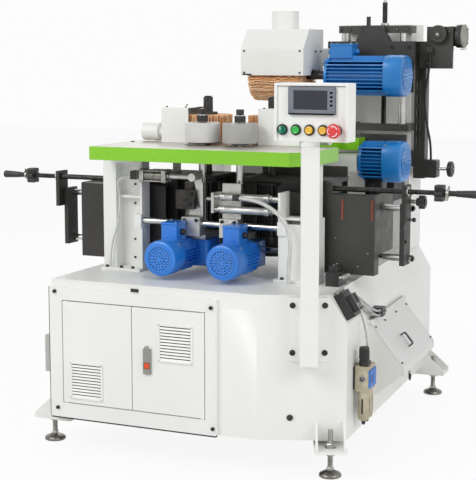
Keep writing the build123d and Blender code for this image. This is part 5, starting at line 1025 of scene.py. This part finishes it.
# each line: name, thickness, finish, route
lines = [
    ("feedHose", 12, paleSheath, [(104, -375, 756), (164, -375, 756), (246, -375, 710), (274, -375, 648),
                                  (266, -375, 556), (266, -375, 498)]),
    ("valveTubeA", 6, clearHose, [(458.9, -403.4, 483.6), (455.7, -358.5, 483.6), (480.3, -253.9, 410.5),
                                  (477.1, -209, 410.5)]),
    ("valveTubeB", 6, clearHose, [(470, -402.6, 490.2), (466.8, -357.7, 490.2), (493.2, -253, 410.5),
                                  (490, -208.1, 410.5)]),
    ("valveTubeC", 6, clearHose, [(452.3, -403.8, 494.8), (449.1, -359, 494.8), (480.3, -253.9, 423.5),
                                  (477.1, -209, 423.5)]),
    ("valveTubeD", 6, clearHose, [(463.4, -403, 501.4), (460.2, -358.2, 501.4), (493.2, -253, 423.5),
                                  (490, -208.1, 423.5)]),
    ("supplyTube", 6, clearHose, [(477.9, -402, 458.3), (473.8, -344.2, 458.3), (502.9, -354.1, 370),
                                  (502.9, -354.1, 312)]),
    ("feedAirTube", 6, paleSheath, [(-256, -350, 806), (-316, -350, 802), (-310, -334, 739.1),
                                    (-310, -346, 660.1), (-338, -352, 580), (-338, -352, 520)]),
]
for name, diameter, mat, points in lines:
    route(name, points, diameter, mat, "air_lines")
route("motorCable", [(446, 410, 1176), (446, 410, 1126), (428, 414, 1036), (438, 416, 936), (446, 444, 870),
                     (446, 444, 820)], 8, cableSheath, "motor_cable")
print("air unit, valves and lines made")


# screws and small fittings

chamferFrame = axes((383.157, -512.605, 0), (0.91832, 0.39583, 0), (-0.39583, 0.91832, 0), upward)
doorScrews = ((-395.2, 477.9), (117.3, 467.3), (-390.3, 125.3), (122.5, 117.8))
uprightScrews = ((-276.7, 775), (-277.4, 716), (-278.1, 660), (-278.8, 604), (-279.4, 547))
screws(5.5, front, [(x, -585, z) for x, z in doorScrews])
screws(3.4, front, [(x, -298, z) for x, z in uprightScrews])
screws(5.5, upward, [(x, -351, 520) for x in (-350, -300, -260, 235, 325)])
for x in (-45, 45):
    for z in (350, 484):
        spot = chamferFrame @ onFront(x, -8, z)
        disc(8.5, 1.5, spot, 32, 1)
        capScrew(5.5, up(spot, 1.5), 0, 1)
disc(9, 3, chamferFrame @ onFront(-51, 0, 162), 32)
slab(oblong((-13, 13), (-5, 5)), 0.8, facing((-134.4, -570, 496), front))
disc(7, 2.4, shift(-323.9, -226.4, 899.7), 28)
piece("darkScrews", "base", [blackPaint, darkSteel], angle=30)

vents = dict(left=(-290, 214), right=(5, 353), half=49.3, rise=50, slats=11, gap=(0.58, 0.98),
             face=(-586.3, -585.1), screwY=-590, screw=(52, 52.4))
for side, label in sides:
    x, z = vents[label]
    pitch = 2 * vents["rise"] / vents["slats"]
    for n in range(vents["slats"]):
        gap = [z - vents["rise"] + (n + share) * pitch for share in vents["gap"]]
        block((x - vents["half"], x + vents["half"]), vents["face"], gap)
    dx, dz = vents["screw"]
    screws(1.6, front, [(x + sx * dx, vents["screwY"], z + sz * dz) for sx, sz in corners], 1)
    piece(label + "VentGaps", label + "_door", [ventShade, zincSteel])

# each row of devices: middle height, count, width, height
devices = dict(face=-503, first=-351, gap=20, rows=((416.5, 6, 45, 80), (266.5, 2, 120, 110)))
face = devices["face"]
for mid, count, width, tall in devices["rows"]:
    for n in range(count):
        x = devices["first"] + n * (width + devices["gap"])
        block((x + 2, x + width - 2), (face - 5, face), (mid - 0.24 * tall, mid + 0.24 * tall))
        block((x + 0.36 * width, x + 0.64 * width), (face - 9, face - 4.5), (mid - 5, mid + 9), 1)
        for k in range(3):
            for z in (mid - 0.36 * tall, mid + 0.36 * tall):
                at = x + width * (k + 0.5) / 3
                block((at - 0.13 * width, at + 0.13 * width), (face - 3, face), (z - 7, z + 7))
                capScrew(3, facing((at, face - 3, z), front), 2)
piece("switchFronts", "base", [blackPlastic, lockRed, zincSteel], edge=0.4)

skirt = dict(corner=(482, -470), front=(438.22, -488.87), rear=604.9, z=(97, 172), inset=45, proud=0.2)
(x, y), (low, high), rear = skirt["corner"], skirt["z"], skirt["rear"]
farX = x + wallBack[0] * (rear - y) / wallBack[1]
ends = [[(x, y, high), (x, y, low), (*skirt["front"], low)],
        [(farX, rear, high), (farX, rear, low), (farX - skirt["inset"], rear, low)]]
proud = skirt["proud"] * Vector(wallOut)
loft([[Vector(spot) + proud for spot in end] for end in ends])
piece("sideSkirt", "base", [whitePaint], angle=30)

# thin near-black strips under and left of the door surround: painted shadow of the gap behind its edge
surroundShadow = dict(x=(-418, -415, 130), y=(-584, -571), z=(92.6, 97, 490))
block(surroundShadow["x"][1:], surroundShadow["y"], surroundShadow["z"][:2])
block(surroundShadow["x"][:2], surroundShadow["y"], surroundShadow["z"][1:])
piece("surroundShadowLine", "base", [shadowLineBlack], edge=0.2)

plate = axes((-416, -580, 230), front, upward, (-1, 0, 0))
roundedBlock((-112, 0), (-1, 111), (0, 20), 5, plate)
for x in (-104, -8):
    for z in (6, 104):
        capScrew(2.6, plate @ shift(x, z, 20), 1)
piece("inletLid", "base", [paleBox, zincSteel], edge=0.8)

for x, y in ((14, 26), (150, 26), (290, 26), (401, 26), (14, 156), (401, 156)):
    capScrew(3, lidFrame @ shift(x, y, 4), 0, 1)
piece("lidScrews", "chute_cover", [darkSteel, blackPaint], angle=30)

latchAt = dict(z=226, out=105, across=330)
origin = Vector((*lid["at"][:2], latchAt["z"]))
origin += latchAt["out"] * Vector(wallOut) + latchAt["across"] * Vector(lid["across"])
latch = axes(origin, lid["across"], upward, wallOut)
roundedBlock((-9, 9), (-12, 12), (0, 2), 2, latch, 0, 3)
ring(8, 11, 3, latch @ shift(0, -8, 2), 32, 1)
for x in (-5, 5):
    capScrew(1.8, latch @ shift(x, 8, 2), 0, 1)
piece("hopperLatch", "base", [zincSteel, darkSteel], angle=30)

headSide = dict(x=(486, 489), y=(-264, -92), z=(592, 770), barY=(-213, -187), barZ=(717.056, 743.056))
for side, label in sides:
    y, z, barY, barZ = [headSide[key] for key in ("y", "z", "barY", "barZ")]
    for wide, tall in ((y, (z[0], barZ[0])), (y, (barZ[1], z[1])), ((y[0], barY[0]), barZ),
                       ((barY[1], y[1]), barZ)):
        block(sorted(side * v for v in headSide["x"]), wide, tall)
    ring(10.4, 17, 2, facing((side * 487, bars["railY"], bars["railZ"][1]), (side, 0, 0)), 36, 1)
    piece(label + "HeadSide", label + "_head", [apronPaint, blackPlastic], edge=0.4)

# guessed backing sheets behind the side heads, made dark as painted shade of the interior behind them
headShadeSheet = dict(left=((-300, 25), -59.6, 800), right=((46, 330), -56.6, 832), t=2, low=592, fold=14, inset=20)
for side, label in sides:
    x, y, top = headShadeSheet[label]
    t, low, inset = headShadeSheet["t"], headShadeSheet["low"], headShadeSheet["inset"]
    block(x, (y, y + t), (low, top))
    block(x, (y, y + headShadeSheet["fold"]), (low, low + t))
    spots = [(at, y + t, z) for at in (x[0] + inset, x[1] - inset) for z in (low + inset, top - inset)]
    screws(3, (0, 1, 0), spots, 1)
    piece(label + "HeadShadeSheet", label + "_head", [apronPaint, zincSteel], edge=0.4)

clamp = facing((582, -226, 753), right)
discs(clamp, ((6, 26, 0, 24, 1), (12, 10, 20, 28, 0), (11, 4, 44, 28, 0)))
lobed(20, 5, 7, 17, up(clamp, 28))
discs(facing((582, -226, 700), right), ((4, 12, 0, 20, 1), (6.5, 8, 9, 24, 0)))
piece("bracketClamp", "base", [blackPlastic, zincSteel], edge=0.5)

armScrews = dict(x=(42.5, 82.5), y=-350, z=680)
screws(6.5, front, ((-63.6, -346, 758), (-68.8, -346, 726)))
block((-113.2, -111.6), (-345.6, -327), (713, 768), 2)
screws(5, front, [(-x, armScrews["y"], armScrews["z"]) for x in armScrews["x"]])
piece("leftArmFittings", "left_feed", [blackPaint, darkSteel, brickStrip], edge=0.2, angle=30)

screws(5, front, [(x, armScrews["y"], armScrews["z"]) for x in armScrews["x"]])
piece("rightArmFittings", "right_feed", [blackPaint, darkSteel], edge=0.2, angle=30)

for x in (391, 482):
    block((x - 3.5, x + 3.5), (-270.2, -268), (696, 755))
apronScrews = ((230, 560), (300, 560), (370, 640), (440, 560), (470, 600))
screws(3, front, [(x, -268, z) for x, z in apronScrews], 1, 2)
piece("rightApronTrim", "right_head", [brickStrip, zincSteel, darkSteel], edge=0.3, angle=30)

hoodScrews = dict(left=(152, 218), right=(111, 218), y=(-196, -56), top=1009, sideX=231,
                  sideY=(-196, -125, -56), z=912)
for side, label in sides:
    top, x1, z = [hoodScrews[key] for key in ("top", "sideX", "z")]
    screws(3.2, upward, [(side * x, y, top) for x in hoodScrews[label] for y in hoodScrews["y"]])
    screws(2.6, (side, 0, 0), [(side * x1, y, z) for y in hoodScrews["sideY"]])
    piece(label + "HoodScrews", label + "_head", [darkSteel, blackPaint], angle=30)

screws(3, front, [(x, 124, z) for x in (-98, 98) for z in (1182, 1112)])
screws(3.4, right, [(110, y, z) for y, z in ((229.5, 1118), (260, 1118), (229.5, 1180), (280, 1180))])
block((-104, -72), (122.6, 126), (1103, 1108), 1)
screws(5.5, front, [(x, 300, z) for x in (146, 206, 350, 408) for z in (1064, 1196)])
piece("topHeadScrews", "top_head", [darkSteel, blackPaint], angle=30)

screws(4.6, front, [(x, 329, z) for x in (164, 196, 358, 390) for z in (931, 1252)])
screws(4.6, front, [(x, 418, z) for x, z in ((438, 1140), (438, 1196), (508, 1140), (508, 1245))])
screws(3.6, front, [(449, 430, z) for z in (772, 808)])
for side, label in sides:
    way = (side, 0, 0)
    for z in bars["railZ"]:
        boltHead(6, facing((side * bars["railEnd"], bars["railY"], z), way))
    screws(4.4, way, [(side * x, -226, z) for x, z in ((570, 635), (582, 775))])
    ring(8.2, 14, 5, facing((side * bars["railEnd"], rod["y"], rod["z"]), way), 32, 1)
piece("frameScrews", "base", [darkSteel, zincSteel], angle=30)
print("screws made")
